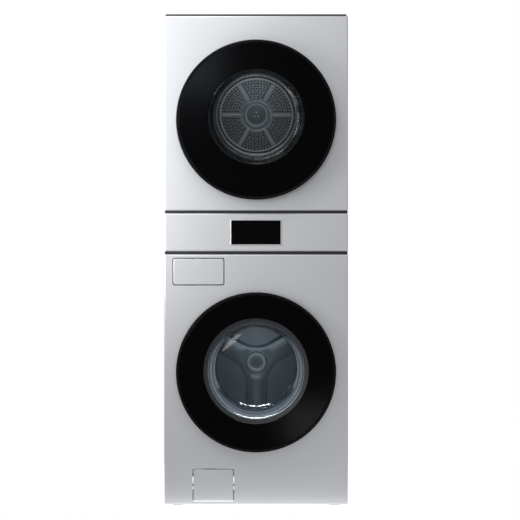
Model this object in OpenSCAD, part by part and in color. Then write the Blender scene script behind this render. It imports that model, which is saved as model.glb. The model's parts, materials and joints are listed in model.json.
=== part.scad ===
// Laundry tower: a front-loading washer below, a heat-pump tumble dryer above,
// and one control panel between them. Millimetres, +Z up, front faces -Y.
// The origin is the centre of the footprint, on the floor.

/* [Overall] */
// Width over the cabinet sides
body_w = 700; // [690:1:710]
// Height from the floor to the top cover
body_h = 1875; // [1870:1:1885]
// Front face of the sheet panels
panel_y = -370; // [-372:1:-368]
// Back face of the cabinet
rear_y = 400; // [398:1:402]
// Gap between the floor and the skirts
skirt_gap = 8; // [6:1:9]

/* [Levels] */
// Top edge of the washer front panel
washer_top = 960; // [956:1:962]
// Bottom edge of the control panel
control_low = 971.7; // [970:0.1:973]
// Top edge of the control panel
control_top = 1116.3; // [1115:0.1:1118]
// Bottom edge of the dryer front panel
dryer_low = 1127; // [1126:1:1130]
// Height of the washer drum axis and door centre
wash_z = 514; // [510:1:518]
// Height of the dryer door centre
dry_door_z = 1470; // [1468:1:1472]
// Height of the dryer window and loading throat
dry_port_z = 1481; // [1479:1:1483]
// Height of the dryer drum axis
dry_z = 1545; // [1542:1:1546]

/* [Doors] */
// Outer radius of both round doors
door_r = 303; // [300:1:304]
// Front of the door glass
door_front_y = -415; // [-415:1:-413]
// Radius of the washer window
wash_window_r = 199; // [196:1:200]
// Radius of the dryer window
dry_window_r = 182; // [180:1:184]
// Radius of the hinge pins
pin_r = 3; // [2.5:0.5:3]

/* [Drums] */
// Outer radius of the wash drum
drum_r = 285; // [280:1:288]
// Inner radius of the outer tub
tub_r = 312; // [310:1:314]
// Outer radius of the dryer drum
dry_drum_r = 289.5; // [286:0.5:290]
// Radius of the drum shaft
shaft_r = 15; // [14:1:16]

/* [Small fronts] */
// Width and height of the detergent drawer front
drawer_size = [192, 99]; // [90:1:200]
// Width and height of the drain filter cover
flap_size = [152, 119]; // [100:1:160]
// Width and height of the display
display_size = [196, 100]; // [90:1:200]

/* [Hidden] */
$fn = 96;
eps = 1;                        // overshoot of a cut past a face

half_w = body_w / 2;
sheet = 1.2;                    // front and rear sheet
side_sheet = 1;
return_d = 20;                  // depth of the front panels' side returns
inner_y = panel_y + sheet;      // back of the front sheets
cover_low = body_h - 6;         // under side of the top cover
flange_w = 16;                  // inward flange along the side panels

// door section, from the glass back to the cabinet
glass_back = door_front_y + 10;
door_back = panel_y - 2;
rebate_y = glass_back + 7;      // depth of the window flange
frame_mid_y = door_back - 15;   // where the rim starts to taper
frame_in_r = 187;               // hole in the washer door frame
hinge_x = -290;
hinge_y = -394;
hinge_half = 50;                // half height of the hinge notch
latch_x = 285;

// small fronts
drawer_c = [-218.9, 894.3];     // centre of the drawer front, X and Z
flap_c = [-162.5, 82.3];        // centre of the filter cover, X and Z
display_z = 1043.7;
front_gap = 3;                  // gap round the drawer front and filter cover
flap_hinge_z = flap_c[1] - flap_size[1] / 2 + 6.7;
flap_hinge_y = panel_y + 6.5;
flap_pin_r = 1.2;

// suspension and drive, along Y
spring_x = 270;
spring_y = 20;
spring_z = [712, 900];
damper_x = 200;
damper_y = 60;
rod_r = 6;
drum_y = [-290, 212];
tub_y = [-305, 250];
split_y = -20;                  // joint between the tub shells
hub_y = [235, 294];
bearing_r = 31;
foot_x = 300;
foot_y = [-310, 350];
stud_r = 6;
fan_c = [-200, 1090];           // process fan axis, X and Z
motor_c = [215, 1150];          // drum motor axis, X and Z
belt_y = [112, 128];
pulley_r = 12;
motor_shaft_r = 6;
lift_count = 3;
fit = 0.05;                     // running clearance on a radius

// ---- helpers ----
module box(a, b) translate(a) cube(b - a);

// a cylinder along X between two planes
module x_rod(r, x0, x1, y, z) translate([x0, y, z]) rotate([0, 90, 0]) cylinder(r = r, h = x1 - x0);

// a cylinder along Y between two planes
module y_rod(r, y0, y1, x = 0, z = 0) translate([x, y0, z]) rotate([-90, 0, 0]) cylinder(r = r, h = y1 - y0);

// a ring along Y
module y_ring(ro, ri, y0, y1, x = 0, z = 0) difference() {
    y_rod(ro, y0, y1, x, z);
    y_rod(ri, y0 - eps, y1 + eps, x, z);
}

// a profile of [radius, y] points turned about a Y axis
module y_turn(points, z, x = 0) translate([x, 0, z]) rotate([-90, 0, 0]) rotate_extrude() polygon(points);

// a rounded rectangle standing in the XZ plane, between two Y planes
module y_plate(size, r, y0, y1, c) {
    half = size / 2;
    box([c[0] - half[0] + r, y0, c[1] - half[1]], [c[0] + half[0] - r, y1, c[1] + half[1]]);
    box([c[0] - half[0], y0, c[1] - half[1] + r], [c[0] + half[0], y1, c[1] + half[1] - r]);
    for (sx = [-1, 1], sz = [-1, 1]) y_rod(r, y0, y1, c[0] + sx * (half[0] - r), c[1] + sz * (half[1] - r));
}

// ---- cabinet ----
module front_sheet(z0, z1) {
    box([-half_w, panel_y, z0], [half_w, inner_y, z1]);
    for (s = [0, 1]) mirror([s, 0, 0])
        box([half_w - sheet, panel_y, z0], [half_w, panel_y + return_d, z1]);
}

module door_slots(z) {
    box([hinge_x - 7, panel_y - eps, z - 40], [hinge_x + 7, inner_y + eps, z + 40]);
    box([latch_x - 10, panel_y - eps, z - 14], [latch_x + 12, inner_y + eps, z + 14]);
}

module washer_front_panel() color("lightgray") difference() {
    front_sheet(skirt_gap, washer_top);
    y_rod(214, panel_y - eps, inner_y + eps, 0, wash_z);
    door_slots(wash_z);
    y_plate(drawer_size + [2, 2] * front_gap, 9, panel_y - eps, inner_y + eps, drawer_c);
    y_plate(flap_size + [2, 2] * front_gap, 8, panel_y - eps, inner_y + eps, flap_c);
}

module dryer_front_panel() color("lightgray") difference() {
    front_sheet(dryer_low, cover_low);
    y_rod(192, panel_y - eps, inner_y + eps, 0, dry_port_z);
    door_slots(dry_door_z);
}

module control_panel() color("lightgray") difference() {
    front_sheet(control_low, control_top);
    box([-98, panel_y - eps, display_z - 50], [98, inner_y + eps, display_z + 50]);
}

module side_panel(s) color("silver") mirror([s, 0, 0]) {
    y0 = panel_y + return_d;
    y1 = rear_y - sheet;
    box([half_w - side_sheet, y0, skirt_gap], [half_w, y1, cover_low]);
    box([half_w - flange_w, y0, skirt_gap], [half_w, y0 + side_sheet, cover_low]);
    box([half_w - flange_w, y1 - side_sheet, skirt_gap], [half_w, y1, cover_low]);
}

module washer_rear_panel() color("silver") difference() {
    box([-half_w + 1, rear_y - sheet, skirt_gap], [half_w - 1, rear_y, washer_top + 5]);
    for (x = [-200, 200], z = [364, 664]) y_rod(10, rear_y - 9, rear_y + 9, x, z);
    for (x = [-270, -210]) y_rod(17, rear_y - 9, rear_y + 9, x, 905);
    y_rod(14, rear_y - 9, rear_y + 9, 250, 880);
    y_rod(9, rear_y - 9, rear_y + 9, 300, 905);
}

module dryer_rear_panel() color("silver") difference() {
    box([-half_w + 1, rear_y - sheet, washer_top + 5], [half_w - 1, rear_y, cover_low]);
    for (i = [-7:7], z = [1010, 1100]) box([i * 34 - 9, rear_y - 9, z], [i * 34 + 9, rear_y + 9, z + 60]);
}

module top_cover() color("dimgray") {
    box([-half_w + 5, panel_y + 2, cover_low], [half_w - 5, rear_y, body_h]);
}

// rails round the edge, with three floor plates between them
module base_frame() color("gray") difference() {
    union() {
        for (x = [-346, 344]) box([x, -345, 20], [x + 2, 394, 62]);
        for (y = [-345, 392]) box([-346, y, 20], [346, y + 2, 62]);
        for (y = [[-345, -170], [30, 90], [325, 394]]) box([-346, y[0], 20], [346, y[1], 22]);
        for (x = [-foot_x, foot_x], y = foot_y) translate([x, y, 22]) cylinder(r = 14, h = 20);
        for (x = [-damper_x, damper_x]) box([x - 25, damper_y - 25, 22], [x + 25, damper_y + 25, 40]);
    }
    for (x = [-foot_x, foot_x], y = foot_y) translate([x, y, 10]) cylinder(r = stud_r + fit, h = 60);
    y_rod(38, -350, -340, flap_c[0], flap_c[1]);
}

// levelling foot, screwed fully in
module foot(x, y) color("dimgray") translate([x, y, 0]) {
    cylinder(r = 25, h = 6);
    cylinder(r = 20, h = 10);
    cylinder(r = 11, h = 16, $fn = 6);
    cylinder(r = stud_r, h = 60);
}

module centre_frame() color([0.05, 0.05, 0.05]) {
    box([-346, -348, washer_top + 2], [346, 394, washer_top + 6]);
    box([-347.5, panel_y + 10, washer_top], [347.5, panel_y + return_d, control_low]);
    box([-330, panel_y + 15, washer_top], [330, -347, control_low]);
    box([-347.5, panel_y + 10, control_top], [347.5, -352, dryer_low]);
    for (x = [-spring_x, spring_x])
        translate([x, spring_y, spring_z[1]]) cylinder(r = 7, h = washer_top + 3 - spring_z[1]);
    for (s = [-1, 1]) box([s * 326 - 4, -358, control_low - 1], [s * 326 + 4, -347, dryer_low]);
}

// ---- door hardware, the same for both doors ----
module hinge_bracket(z) {
    difference() {
        union() {
            box([hinge_x - 30, inner_y, z - 60], [hinge_x + 30, inner_y + 4, z + 60]);
            for (s = [-1, 1]) translate([0, 0, z + 28 * s - 6]) {
                box([hinge_x - 4, hinge_y, 0], [hinge_x + 4, inner_y + 2, 12]);
                translate([hinge_x, hinge_y, 0]) cylinder(r = 5, h = 12);
            }
        }
        translate([hinge_x, hinge_y, z - 50]) cylinder(r = pin_r, h = 100);
    }
}

// fork on the base frame that holds a pin of the drain filter cover
module flap_fork(x) difference() {
    union() {
        box([x - 9, -347, flap_hinge_z - 1.7], [x + 9, -345, flap_hinge_z + 10]);
        for (t = [x - 8.5, x + 5.5])
            box([t, flap_hinge_y - 1.8, flap_hinge_z - 1.7], [t + 3, -346, flap_hinge_z + 1.7]);
    }
    x_rod(flap_pin_r, x - 10, x + 10, flap_hinge_y, flap_hinge_z);
}

module hinge_brackets() color("dimgray") {
    for (z = [wash_z, dry_door_z]) hinge_bracket(z);
    for (s = [-1, 1]) flap_fork(flap_c[0] + s * 50);
}

module hinge_pins() color("silver") {
    for (z = [wash_z, dry_door_z]) translate([hinge_x, hinge_y, z - 58]) cylinder(r = pin_r, h = 116);
    for (x = [flap_c[0] - 50, flap_c[0] + 50])
        x_rod(flap_pin_r, x - 8.5, x + 8.5, flap_hinge_y, flap_hinge_z);
}

module door_locks() color("dimgray") for (z = [wash_z, dry_door_z]) difference() {
    box([latch_x - 20, inner_y, z - 40], [latch_x + 20, inner_y + 34, z + 40]);
    box([latch_x - 9, inner_y - eps, z - 12], [latch_x + 11, inner_y + 28, z + 12]);
}

// back ring of a door: outer profile, notch for the hinge, bores for the pin, latch hook
module door_ring(z, port_z, port_r, flange_r) {
    difference() {
        y_turn([[0, glass_back], [door_r - 1, glass_back], [door_r - 1, frame_mid_y],
                [290, door_back], [0, door_back]], z);
        y_rod(port_r, glass_back - eps, door_back + eps, 0, port_z);
        y_rod(flange_r, glass_back - eps, rebate_y, 0, port_z);
        box([-door_r - 5, glass_back + 3, z - hinge_half], [hinge_x + 18, door_back + eps, z + hinge_half]);
        translate([hinge_x, hinge_y, z - 60]) cylinder(r = pin_r + fit, h = 120);
    }
    box([latch_x - 5, door_back - 10, z - 7], [latch_x + 2, door_back + 28, z + 7]);
    box([latch_x - 5, door_back + 20, z - 7], [latch_x + 6, door_back + 28, z + 7]);
}

// front glass of a door with its round window cut out
module door_glass(z, port_z, port_r) difference() {
    y_turn([[0, door_front_y], [door_r - 18, door_front_y], [door_r - 6, door_front_y + 2],
            [door_r, door_front_y + 7], [door_r, glass_back], [0, glass_back]], z);
    y_rod(port_r, door_front_y - eps, glass_back + eps, 0, port_z);
}

module washer_door_frame() color([0.1, 0.1, 0.1]) door_ring(wash_z, wash_z + 5, frame_in_r, 206);
module dryer_door_frame() color([0.1, 0.1, 0.1]) door_ring(dry_door_z, dry_port_z, 178, 190);
module washer_door_glass() color([0.02, 0.02, 0.03]) door_glass(wash_z, wash_z + 5, wash_window_r);

// the dryer's glass keeps its window: a shallow dish set in the ring
module dryer_door_glass() color([0.02, 0.02, 0.03]) {
    door_glass(dry_door_z, dry_port_z, dry_window_r);
    y_turn([[0, -357], [158, -357], [170, -376], [175, glass_back], [190, glass_back], [190, rebate_y],
            [178, rebate_y], [174, -374], [162, -353], [0, -353]], dry_port_z);
}

module washer_door_bowl() color([0.6, 0.65, 0.7, 0.4])
    y_turn([[0, -241], [148, -241], [155, -246], [174, -372], [178, glass_back], [206, glass_back],
            [206, rebate_y], [184, rebate_y], [180, -372], [161, -244], [150, -236], [0, -236]], wash_z + 5);

module door_boot() color("dimgray")
    y_turn([[216, inner_y], [216, -364], [194, -362], [192, -346], [206, -341], [206, -322], [200.5, -322],
            [200.5, -336.5], [189, -341.5], [188, -352], [187, -366], [187, inner_y]], wash_z);

// ---- tub ----
module tub_lug(x, y, z0, z1) difference() {
    box([x - 8, y - 8, z0], [x + 8, y + 8, z1]);
    y_rod(tub_r + 2, y - 9, y + 9, 0, wash_z);
}

module tub_front_shell() color("whitesmoke")
    y_turn([[196, tub_y[0] - 30], [200, tub_y[0] - 30], [200, tub_y[0]], [tub_r + 4, tub_y[0]],
            [tub_r + 4, split_y - 4], [tub_r + 12, split_y - 4], [tub_r + 12, split_y], [tub_r, split_y],
            [tub_r, tub_y[0] + 4], [196, tub_y[0] + 4]], wash_z);

module tub_rear_shell() color("whitesmoke") {
    y_turn([[tub_r, split_y], [tub_r + 12, split_y], [tub_r + 12, split_y + 4], [tub_r + 4, split_y + 4],
            [tub_r + 4, tub_y[1]], [48, tub_y[1]], [48, hub_y[1]], [bearing_r, hub_y[1]],
            [bearing_r, hub_y[0]], [48, hub_y[0]], [48, tub_y[1] - 6], [tub_r, tub_y[1] - 6]], wash_z);
    for (x = [-spring_x, spring_x]) tub_lug(x, spring_y, 650, spring_z[0]);
    for (x = [-damper_x, damper_x]) tub_lug(x, damper_y, 235, 290);
}

module counterweights() color("gray") for (z = [[12, 299], [-299, -12]]) intersection() {
    y_ring(298, 218, tub_y[0] - 22, tub_y[0], 0, wash_z);
    box([-299, tub_y[0] - 30, wash_z + z[0]], [299, tub_y[0] + 1, wash_z + z[1]]);
}

module tub_bearings() color("silver")
    for (y = [hub_y[0] + 5, hub_y[1] - 18]) y_ring(bearing_r, shaft_r + fit, y, y + 16, 0, wash_z);

module motor_stator() color("peru") {
    y_ring(118, 50, tub_y[1], tub_y[1] + 34, 0, wash_z);
    for (i = [0:17]) translate([0, 0, wash_z]) rotate([0, i * 20, 0])
        box([112, tub_y[1] + 3, -9], [134, tub_y[1] + 31, 9]);
}

module damper_rods() color("silver") for (x = [-damper_x, damper_x]) translate([x, damper_y, 0]) {
    translate([0, 0, 104]) cylinder(r = 13, h = 9);
    translate([0, 0, 110]) cylinder(r = rod_r, h = 125);
}

module damper_cylinders() color("dimgray") for (x = [-damper_x, damper_x]) translate([x, damper_y, 0])
    difference() {
        translate([0, 0, 40]) cylinder(r = 18, h = 145);
        translate([0, 0, 88]) cylinder(r = 14, h = 90);
        translate([0, 0, 170]) cylinder(r = rod_r + fit, h = 20);
    }

module tub_springs() color("silver") for (x = [-spring_x, spring_x])
    translate([x, spring_y, spring_z[0]]) difference() {
        cylinder(r = 14, h = spring_z[1] - spring_z[0]);
        translate([0, 0, -eps]) cylinder(r = 10, h = spring_z[1] - spring_z[0] + 2 * eps);
    }

// ---- wash drum, turning about Y ----
module wash_drum() color("silver")
    y_turn([[0, drum_y[1] - 1.5], [drum_r - 1.5, drum_y[1] - 1.5], [drum_r - 1.5, drum_y[0] + 1.5],
            [203, drum_y[0] + 1.5], [203, drum_y[0] + 8], [201.5, drum_y[0] + 8], [201.5, drum_y[0]],
            [drum_r, drum_y[0]], [drum_r, drum_y[1]], [0, drum_y[1]]], wash_z);

// lifters sit on the drum wall: a tapered rib along the drum
module lifter_row(r_wall, r_top, foot_w, top_w, y0, y1, z, first)
    for (i = [0:lift_count - 1]) translate([0, y0, z]) rotate([0, first + i * 360 / lift_count, 0])
        rotate([-90, 0, 0]) difference() {
            linear_extrude(y1 - y0) intersection() {
                circle(r_wall);
                polygon([[r_top, -top_w], [r_wall + 5, -foot_w], [r_wall + 5, foot_w], [r_top, top_w]]);
            }
            translate([0, 0, 4]) linear_extrude(y1 - y0 - 8)
                polygon([[r_top + 4, 4 - top_w], [r_wall + 5, 4 - foot_w], [r_wall + 5, foot_w - 4],
                         [r_top + 4, top_w - 4]]);
        }

module wash_drum_lifters() color("silver") lifter_row(drum_r - 1.5, 222, 32, 14, -250, 175, wash_z, -90);

module drum_spider() color("gray") translate([0, drum_y[1], wash_z]) rotate([-90, 0, 0]) difference() {
    union() {
        cylinder(r = 48, h = 20);
        for (i = [0:2]) rotate(90 + i * 120) linear_extrude(16)
            polygon([[20, -40], [272, -22], [272, 22], [20, 40]]);
    }
    translate([0, 0, -eps]) cylinder(r = shaft_r, h = 30);
}

module drum_shaft() color("silver") y_rod(shaft_r, drum_y[1] + 2, 335, 0, wash_z);

module motor_rotor() color("dimgray")
    y_turn([[139, 256], [147, 256], [147, 301], [36, 301], [30, 318], [shaft_r, 318], [shaft_r, 297],
            [139, 297]], wash_z);

// ---- water side ----
module dispenser_housing() color("whitesmoke") {
    size = drawer_size + [-6, -8];
    front_y = panel_y + 9;
    difference() {
        box([drawer_c[0] - size[0] / 2 - 2, front_y, drawer_c[1] - size[1] / 2 - 2],
            [drawer_c[0] + size[0] / 2 + 2, -100, drawer_c[1] + size[1] / 2 + 2]);
        box([drawer_c[0] - size[0] / 2, front_y - eps, drawer_c[1] - size[1] / 2],
            [drawer_c[0] + size[0] / 2, -103, drawer_c[1] + size[1] / 2]);
    }
}

// drawer tray with a softener compartment
module detergent_drawer() color("whitesmoke") {
    w = drawer_size[0] - 14;
    x0 = drawer_c[0] - w / 2;
    z0 = drawer_c[1] - 41;
    difference() {
        box([x0, panel_y + 8, z0], [x0 + w, -112, z0 + 74]);
        box([x0 + 3, panel_y + 12, z0 + 3], [x0 + w - 63, -116, z0 + 75]);
        box([x0 + w - 60, panel_y + 12, z0 + 3], [x0 + w - 3, -230, z0 + 75]);
        box([x0 + w - 60, -227, z0 + 3], [x0 + w - 3, -116, z0 + 75]);
    }
}

module drawer_front() color("lightgray") difference() {
    y_plate(drawer_size, 7, panel_y, panel_y + 8, drawer_c);
    box([drawer_c[0] - 45, panel_y + 3, drawer_c[1] - 60], [drawer_c[0] + 45, panel_y + 9, drawer_c[1] - 43]);
}

// hinged along its lower edge on two barrels
module filter_cover() color("lightgray") {
    y_plate(flap_size, 6, panel_y, panel_y + 4, flap_c);
    for (x = [flap_c[0] - 50, flap_c[0] + 50]) difference() {
        union() {
            box([x - 5, panel_y + 3.5, flap_hinge_z - 2.6], [x + 5, flap_hinge_y, flap_hinge_z + 2.6]);
            x_rod(2.6, x - 5, x + 5, flap_hinge_y, flap_hinge_z);
        }
        x_rod(flap_pin_r + fit, x - 6, x + 6, flap_hinge_y, flap_hinge_z);
    }
}

module drain_pump() color("whitesmoke") {
    difference() {
        union() {
            y_rod(34, -330, -200, flap_c[0], flap_c[1]);
            y_rod(28, -200, -140, flap_c[0], flap_c[1]);
            box([flap_c[0] - 26, -310, 22], [flap_c[0] + 26, -180, flap_c[1] - 20]);
        }
        y_rod(29, -335, -235, flap_c[0], flap_c[1]);
    }
    translate([flap_c[0], -220, flap_c[1] + 26]) cylinder(r = 16, h = 60);
}

module drain_filter() color("dimgray") {
    y_rod(33, -344, -332, flap_c[0], flap_c[1]);
    y_ring(27, 23, -333, -250, flap_c[0], flap_c[1]);
    y_rod(27, -255, -250, flap_c[0], flap_c[1]);
    box([flap_c[0] - 25, -356, flap_c[1] - 5], [flap_c[0] + 25, -343, flap_c[1] + 5]);
}

module inlet_valves() color("whitesmoke") {
    box([-290, 340, 885], [-190, 372, 930]);
    for (x = [-270, -210]) {
        y_rod(16, 370, rear_y, x, 905);
        y_rod(13.2, rear_y - 1, rear_y + 15, x, 905);
        translate([x, 352, 925]) cylinder(r = 14, h = 26);
    }
}

module drain_spigot() color("dimgray") {
    y_ring(11, 8, 360, rear_y + 15, 250, 880);
    y_ring(20, 8, 390, rear_y - sheet, 250, 880);
}

module mains_gland() color("dimgray") {
    y_ring(8.5, 5, 385, 412, 300, 905);
    y_ring(16, 5, rear_y, rear_y + 4, 300, 905);
}

// ---- controls ----
module display_bezel() color("silver") difference() {
    y_plate(display_size, 3, panel_y - 1.5, panel_y + 6, [0, display_z]);
    y_plate(display_size - [9, 9], 2, panel_y - 3, panel_y + 8, [0, display_z]);
}

module display_glass() color([0.02, 0.02, 0.02])
    y_plate(display_size - [9, 9], 2, panel_y - 0.5, panel_y + 4, [0, display_z]);

module control_board() color("darkgreen") {
    box([-150, -344, 988], [150, -342, 1100]);
    for (i = [0:4]) box([i * 55 - 130, -342, 1010], [i * 55 - 105, -330, 1050]);
}

// ---- dryer ----
module dryer_bulkhead() color("lightgray") difference() {
    union() {
        box([-345, -330, dryer_low + 3], [345, -327, cover_low - 4]);
        y_rod(193, inner_y, -327, 0, dry_port_z);
        box([-110, -354, 1165], [110, -318, 1310]);
        y_ring(280, 276, -327, -305, 0, dry_z);
    }
    y_rod(189, inner_y - eps, -315, 0, dry_port_z);
    box([-104, -350, 1170], [104, -322, 1340]);
}

module lint_filter() color("whitesmoke") {
    difference() {
        box([-101, -347, 1174], [101, -326, 1290]);
        box([-94, -344, 1180], [94, -329, 1291]);
        for (i = [-2:2]) box([i * 36 - 15, -350, 1184], [i * 36 + 15, -320, 1280]);
    }
    box([-101, -347, 1290], [101, -326, 1297]);
    box([-35, -343, 1297], [35, -338, 1312]);
}

module dryer_drum() color("silver") {
    y_ring(dry_drum_r, dry_drum_r - 1.5, -314, 222, 0, dry_z);
    lifter_row(dry_drum_r - 1.5, 232, 30, 14, -270, 190, dry_z, -90);
}

module dryer_drum_back() color("gray") {
    y_rod(dry_drum_r, 222, 225, 0, dry_z);
    y_rod(45, 214, 223, 0, dry_z);
    y_rod(12, 224, 270, 0, dry_z);
}

module rear_air_duct() color("silver") {
    y_turn([[270, 232], [276, 232], [276, 262], [40, 262], [32, 275], [12 + fit, 275], [12 + fit, 256],
            [270, 256]], dry_z);
    for (x = [-180, 180], z = [-180, 180]) y_rod(8, 261, rear_y - sheet, x, dry_z + z);
}

module heat_pump_base() color("dimgray") {
    difference() {
        box([-330, -322, 980], [330, 380, 1024]);
        box([-326, -318, 988], [326, 376, 1025]);
    }
    for (x = [-300, 260], y = [-300, 320]) box([x, y, washer_top + 6], [x + 40, y + 40, 981]);
    y_ring(86, 80, -262, -178, fan_c[0], fan_c[1]);
    difference() {
        union() {
            y_rod(86, -182, -178, fan_c[0], fan_c[1]);
            y_rod(32, -179, -110, fan_c[0], fan_c[1]);
        }
        y_rod(motor_shaft_r + fit, -190, -150, fan_c[0], fan_c[1]);
    }
    box([fan_c[0] - 60, -250, 987], [fan_c[0] + 60, -120, fan_c[1] - 78]);
    box([motor_c[0] - 40, -20, 987], [motor_c[0] + 40, 80, motor_c[1] - 58]);
}

module compressor() color([0.1, 0.1, 0.1]) translate([-225, 230, 988]) {
    cylinder(r = 72, h = 10);
    cylinder(r = 58, h = 150);
    translate([0, 0, 150]) cylinder(r1 = 58, r2 = 30, h = 24);
    translate([86, 0, 0]) cylinder(r = 20, h = 120);
}

// two finned coils, fins across the air path
module heat_exchangers() color("silver") for (y = [-90, 60]) {
    for (i = [0:9]) box([-100 + i * 24, y, 988], [-96 + i * 24, y + 110, 1150]);
    for (z = [1010, 1050, 1090, 1130], dy = [30, 80]) translate([-112, y + dy, z])
        rotate([0, 90, 0]) cylinder(r = 5, h = 244);
}

module drum_motor() color("gray") difference() {
    union() {
        y_rod(58, -30, 90, motor_c[0], motor_c[1]);
        y_rod(22, 90, 104, motor_c[0], motor_c[1]);
    }
    y_rod(motor_shaft_r + fit, 80, 105, motor_c[0], motor_c[1]);
}

module motor_pulley() color("silver") {
    y_rod(motor_shaft_r, 82, 136, motor_c[0], motor_c[1]);
    y_rod(pulley_r, belt_y[0] - 2, belt_y[1] + 2, motor_c[0], motor_c[1]);
}

// belt round the drum and the motor pulley
module drum_belt() color([0.1, 0.1, 0.1])
    translate([0, belt_y[0], 0]) rotate([-90, 0, 0]) linear_extrude(belt_y[1] - belt_y[0]) difference() {
        belt_outline(3.4);
        belt_outline(0.6);
    }

module belt_outline(t) hull() {
    translate([0, -dry_z]) circle(dry_drum_r + t);
    translate([motor_c[0], -motor_c[1]]) circle(pulley_r + t, $fn = 32);
}

module process_fan() color("whitesmoke") translate([fan_c[0], 0, fan_c[1]]) {
    y_ring(74, 70, -256, -190);
    y_rod(74, -192, -188);
    y_rod(motor_shaft_r, -189, -152);
    for (i = [0:23]) rotate([0, i * 15, 0]) translate([62, 0, 0]) rotate([0, 30, 0])
        box([-6, -252, -1], [11, -190, 1]);
}

base_frame();
side_panel(1);  // side_panel_left
side_panel(0);  // side_panel_right
washer_rear_panel();
washer_front_panel();
centre_frame();
dispenser_housing();
inlet_valves();
drain_pump();
drain_spigot();
mains_gland();
door_locks();
hinge_brackets();
hinge_pins();
door_boot();
damper_cylinders();
control_panel();
display_bezel();
display_glass();
control_board();
dryer_rear_panel();
dryer_front_panel();
top_cover();
dryer_bulkhead();
rear_air_duct();
heat_pump_base();
compressor();
heat_exchangers();
drum_motor();
drum_belt();
foot(-foot_x, foot_y[0]);  // foot_front_left
foot(foot_x, foot_y[0]);  // foot_front_right
foot(-foot_x, foot_y[1]);  // foot_rear_left
foot(foot_x, foot_y[1]);  // foot_rear_right
tub_front_shell();
tub_rear_shell();
counterweights();
tub_bearings();
motor_stator();
damper_rods();
tub_springs();
wash_drum();
wash_drum_lifters();
drum_spider();
drum_shaft();
motor_rotor();
washer_door_frame();
washer_door_glass();
washer_door_bowl();
detergent_drawer();
drawer_front();
filter_cover();
drain_filter();
dryer_drum();
dryer_drum_back();
motor_pulley();
process_fan();
lint_filter();
dryer_door_frame();
dryer_door_glass();
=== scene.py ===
# A laundry tower: front-loading washer below, tumble dryer above, control panel between them.
# Metres, +Z up, the doors face -Y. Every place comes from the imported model's boxes.
import json
from math import acos, atan2, cos, degrees, exp, hypot, pi, radians, sin, sqrt

import bmesh
import bpy
from mathutils import Matrix, Vector


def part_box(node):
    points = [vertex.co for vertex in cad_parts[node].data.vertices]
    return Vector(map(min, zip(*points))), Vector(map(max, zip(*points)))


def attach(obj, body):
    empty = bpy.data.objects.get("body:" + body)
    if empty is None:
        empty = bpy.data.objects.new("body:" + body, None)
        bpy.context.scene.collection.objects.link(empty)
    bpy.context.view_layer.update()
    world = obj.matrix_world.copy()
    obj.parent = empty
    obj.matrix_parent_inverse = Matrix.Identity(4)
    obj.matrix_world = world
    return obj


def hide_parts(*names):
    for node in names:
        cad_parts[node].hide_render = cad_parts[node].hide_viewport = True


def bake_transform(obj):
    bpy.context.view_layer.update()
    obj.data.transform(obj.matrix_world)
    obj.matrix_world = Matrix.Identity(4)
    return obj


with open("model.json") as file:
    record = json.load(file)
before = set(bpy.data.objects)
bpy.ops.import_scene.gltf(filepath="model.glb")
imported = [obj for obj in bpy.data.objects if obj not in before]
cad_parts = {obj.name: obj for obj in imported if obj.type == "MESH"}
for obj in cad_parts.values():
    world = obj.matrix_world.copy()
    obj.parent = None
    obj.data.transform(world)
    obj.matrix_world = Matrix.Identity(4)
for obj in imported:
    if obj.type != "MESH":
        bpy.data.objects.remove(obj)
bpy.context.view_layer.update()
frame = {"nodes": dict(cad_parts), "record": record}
scene = bpy.context.scene

MM = 0.001
SEGMENTS = 144                  # sides of a large turned shape
CREASE = 34                     # degrees past which an edge stays sharp
SQUARE = 0.99999                # a face this square to an axis is shaded flat
WELD = 1e-6                     # points closer than this are one
UPRIGHT = Matrix.Identity(4)    # a plate that faces the front
TO_RIGHT = Matrix.Rotation(radians(90), 4, "Z")
TO_LEFT = Matrix.Rotation(radians(-90), 4, "Z")
TO_REAR = Matrix.Rotation(radians(180), 4, "Z")
TO_TOP = Matrix.Rotation(radians(-90), 4, "X")


# ---- places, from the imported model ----
def middle(node):
    low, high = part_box(node)
    return (low + high) / 2


def half_width(node):
    low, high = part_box(node)
    return (high.x - low.x) / 2


def span(node):
    """A node's low corner, high corner, middle and size."""
    low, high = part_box(node)
    return low, high, (low + high) / 2, high - low


low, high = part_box("washer_front_panel")
FRONT_Y = low.y
HALF_WIDTH = high.x
RETURN_DEPTH = high.y - low.y
WASH_Z = middle("washer_door_glass").z
DRY_DOOR_Z = middle("dryer_door_frame").z
WASH_BOWL_Z = middle("washer_door_bowl").z
DRUM_Z = middle("wash_drum").z
DRY_DRUM_Z = middle("dryer_drum_back").z
DOOR_RADIUS = half_width("washer_door_glass")
DOOR_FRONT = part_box("washer_door_glass")[0].y
GLASS_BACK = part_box("washer_door_glass")[1].y
DOOR_BACK = FRONT_Y - 2 * MM
HINGE = middle("hinge_pins")
REAR_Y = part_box("washer_rear_panel")[1].y
BOWL_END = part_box("washer_door_bowl")[1].y
WASH_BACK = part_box("wash_drum")[1].y
WASH_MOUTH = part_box("wash_drum")[0].y
WASH_RADIUS = half_width("wash_drum")
DRY_RADIUS = half_width("dryer_drum_back")
DRY_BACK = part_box("dryer_drum")[1].y
DRY_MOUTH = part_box("dryer_drum")[0].y

DRY_PORT_RISE = 11 * MM         # dryer window above its door's centre
WASH_WINDOW = 199 * MM
DRY_WINDOW = 182 * MM
DRY_PORT_Z = DRY_DOOR_Z + DRY_PORT_RISE
RIM = 10.5 * MM                 # ring round the door glass
BOWL_FACE = 160.5 * MM          # radius of the bowl's clear end


# ---- shader groups, shared by the materials ----
def link(tree, start, end):
    tree.links.new(start, end)


def wire(tree, *joins):
    """Each join is a node, its output, the next node and its input."""
    for start, output, end, given in joins:
        tree.links.new(start.outputs[output], end.inputs[given])


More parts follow.
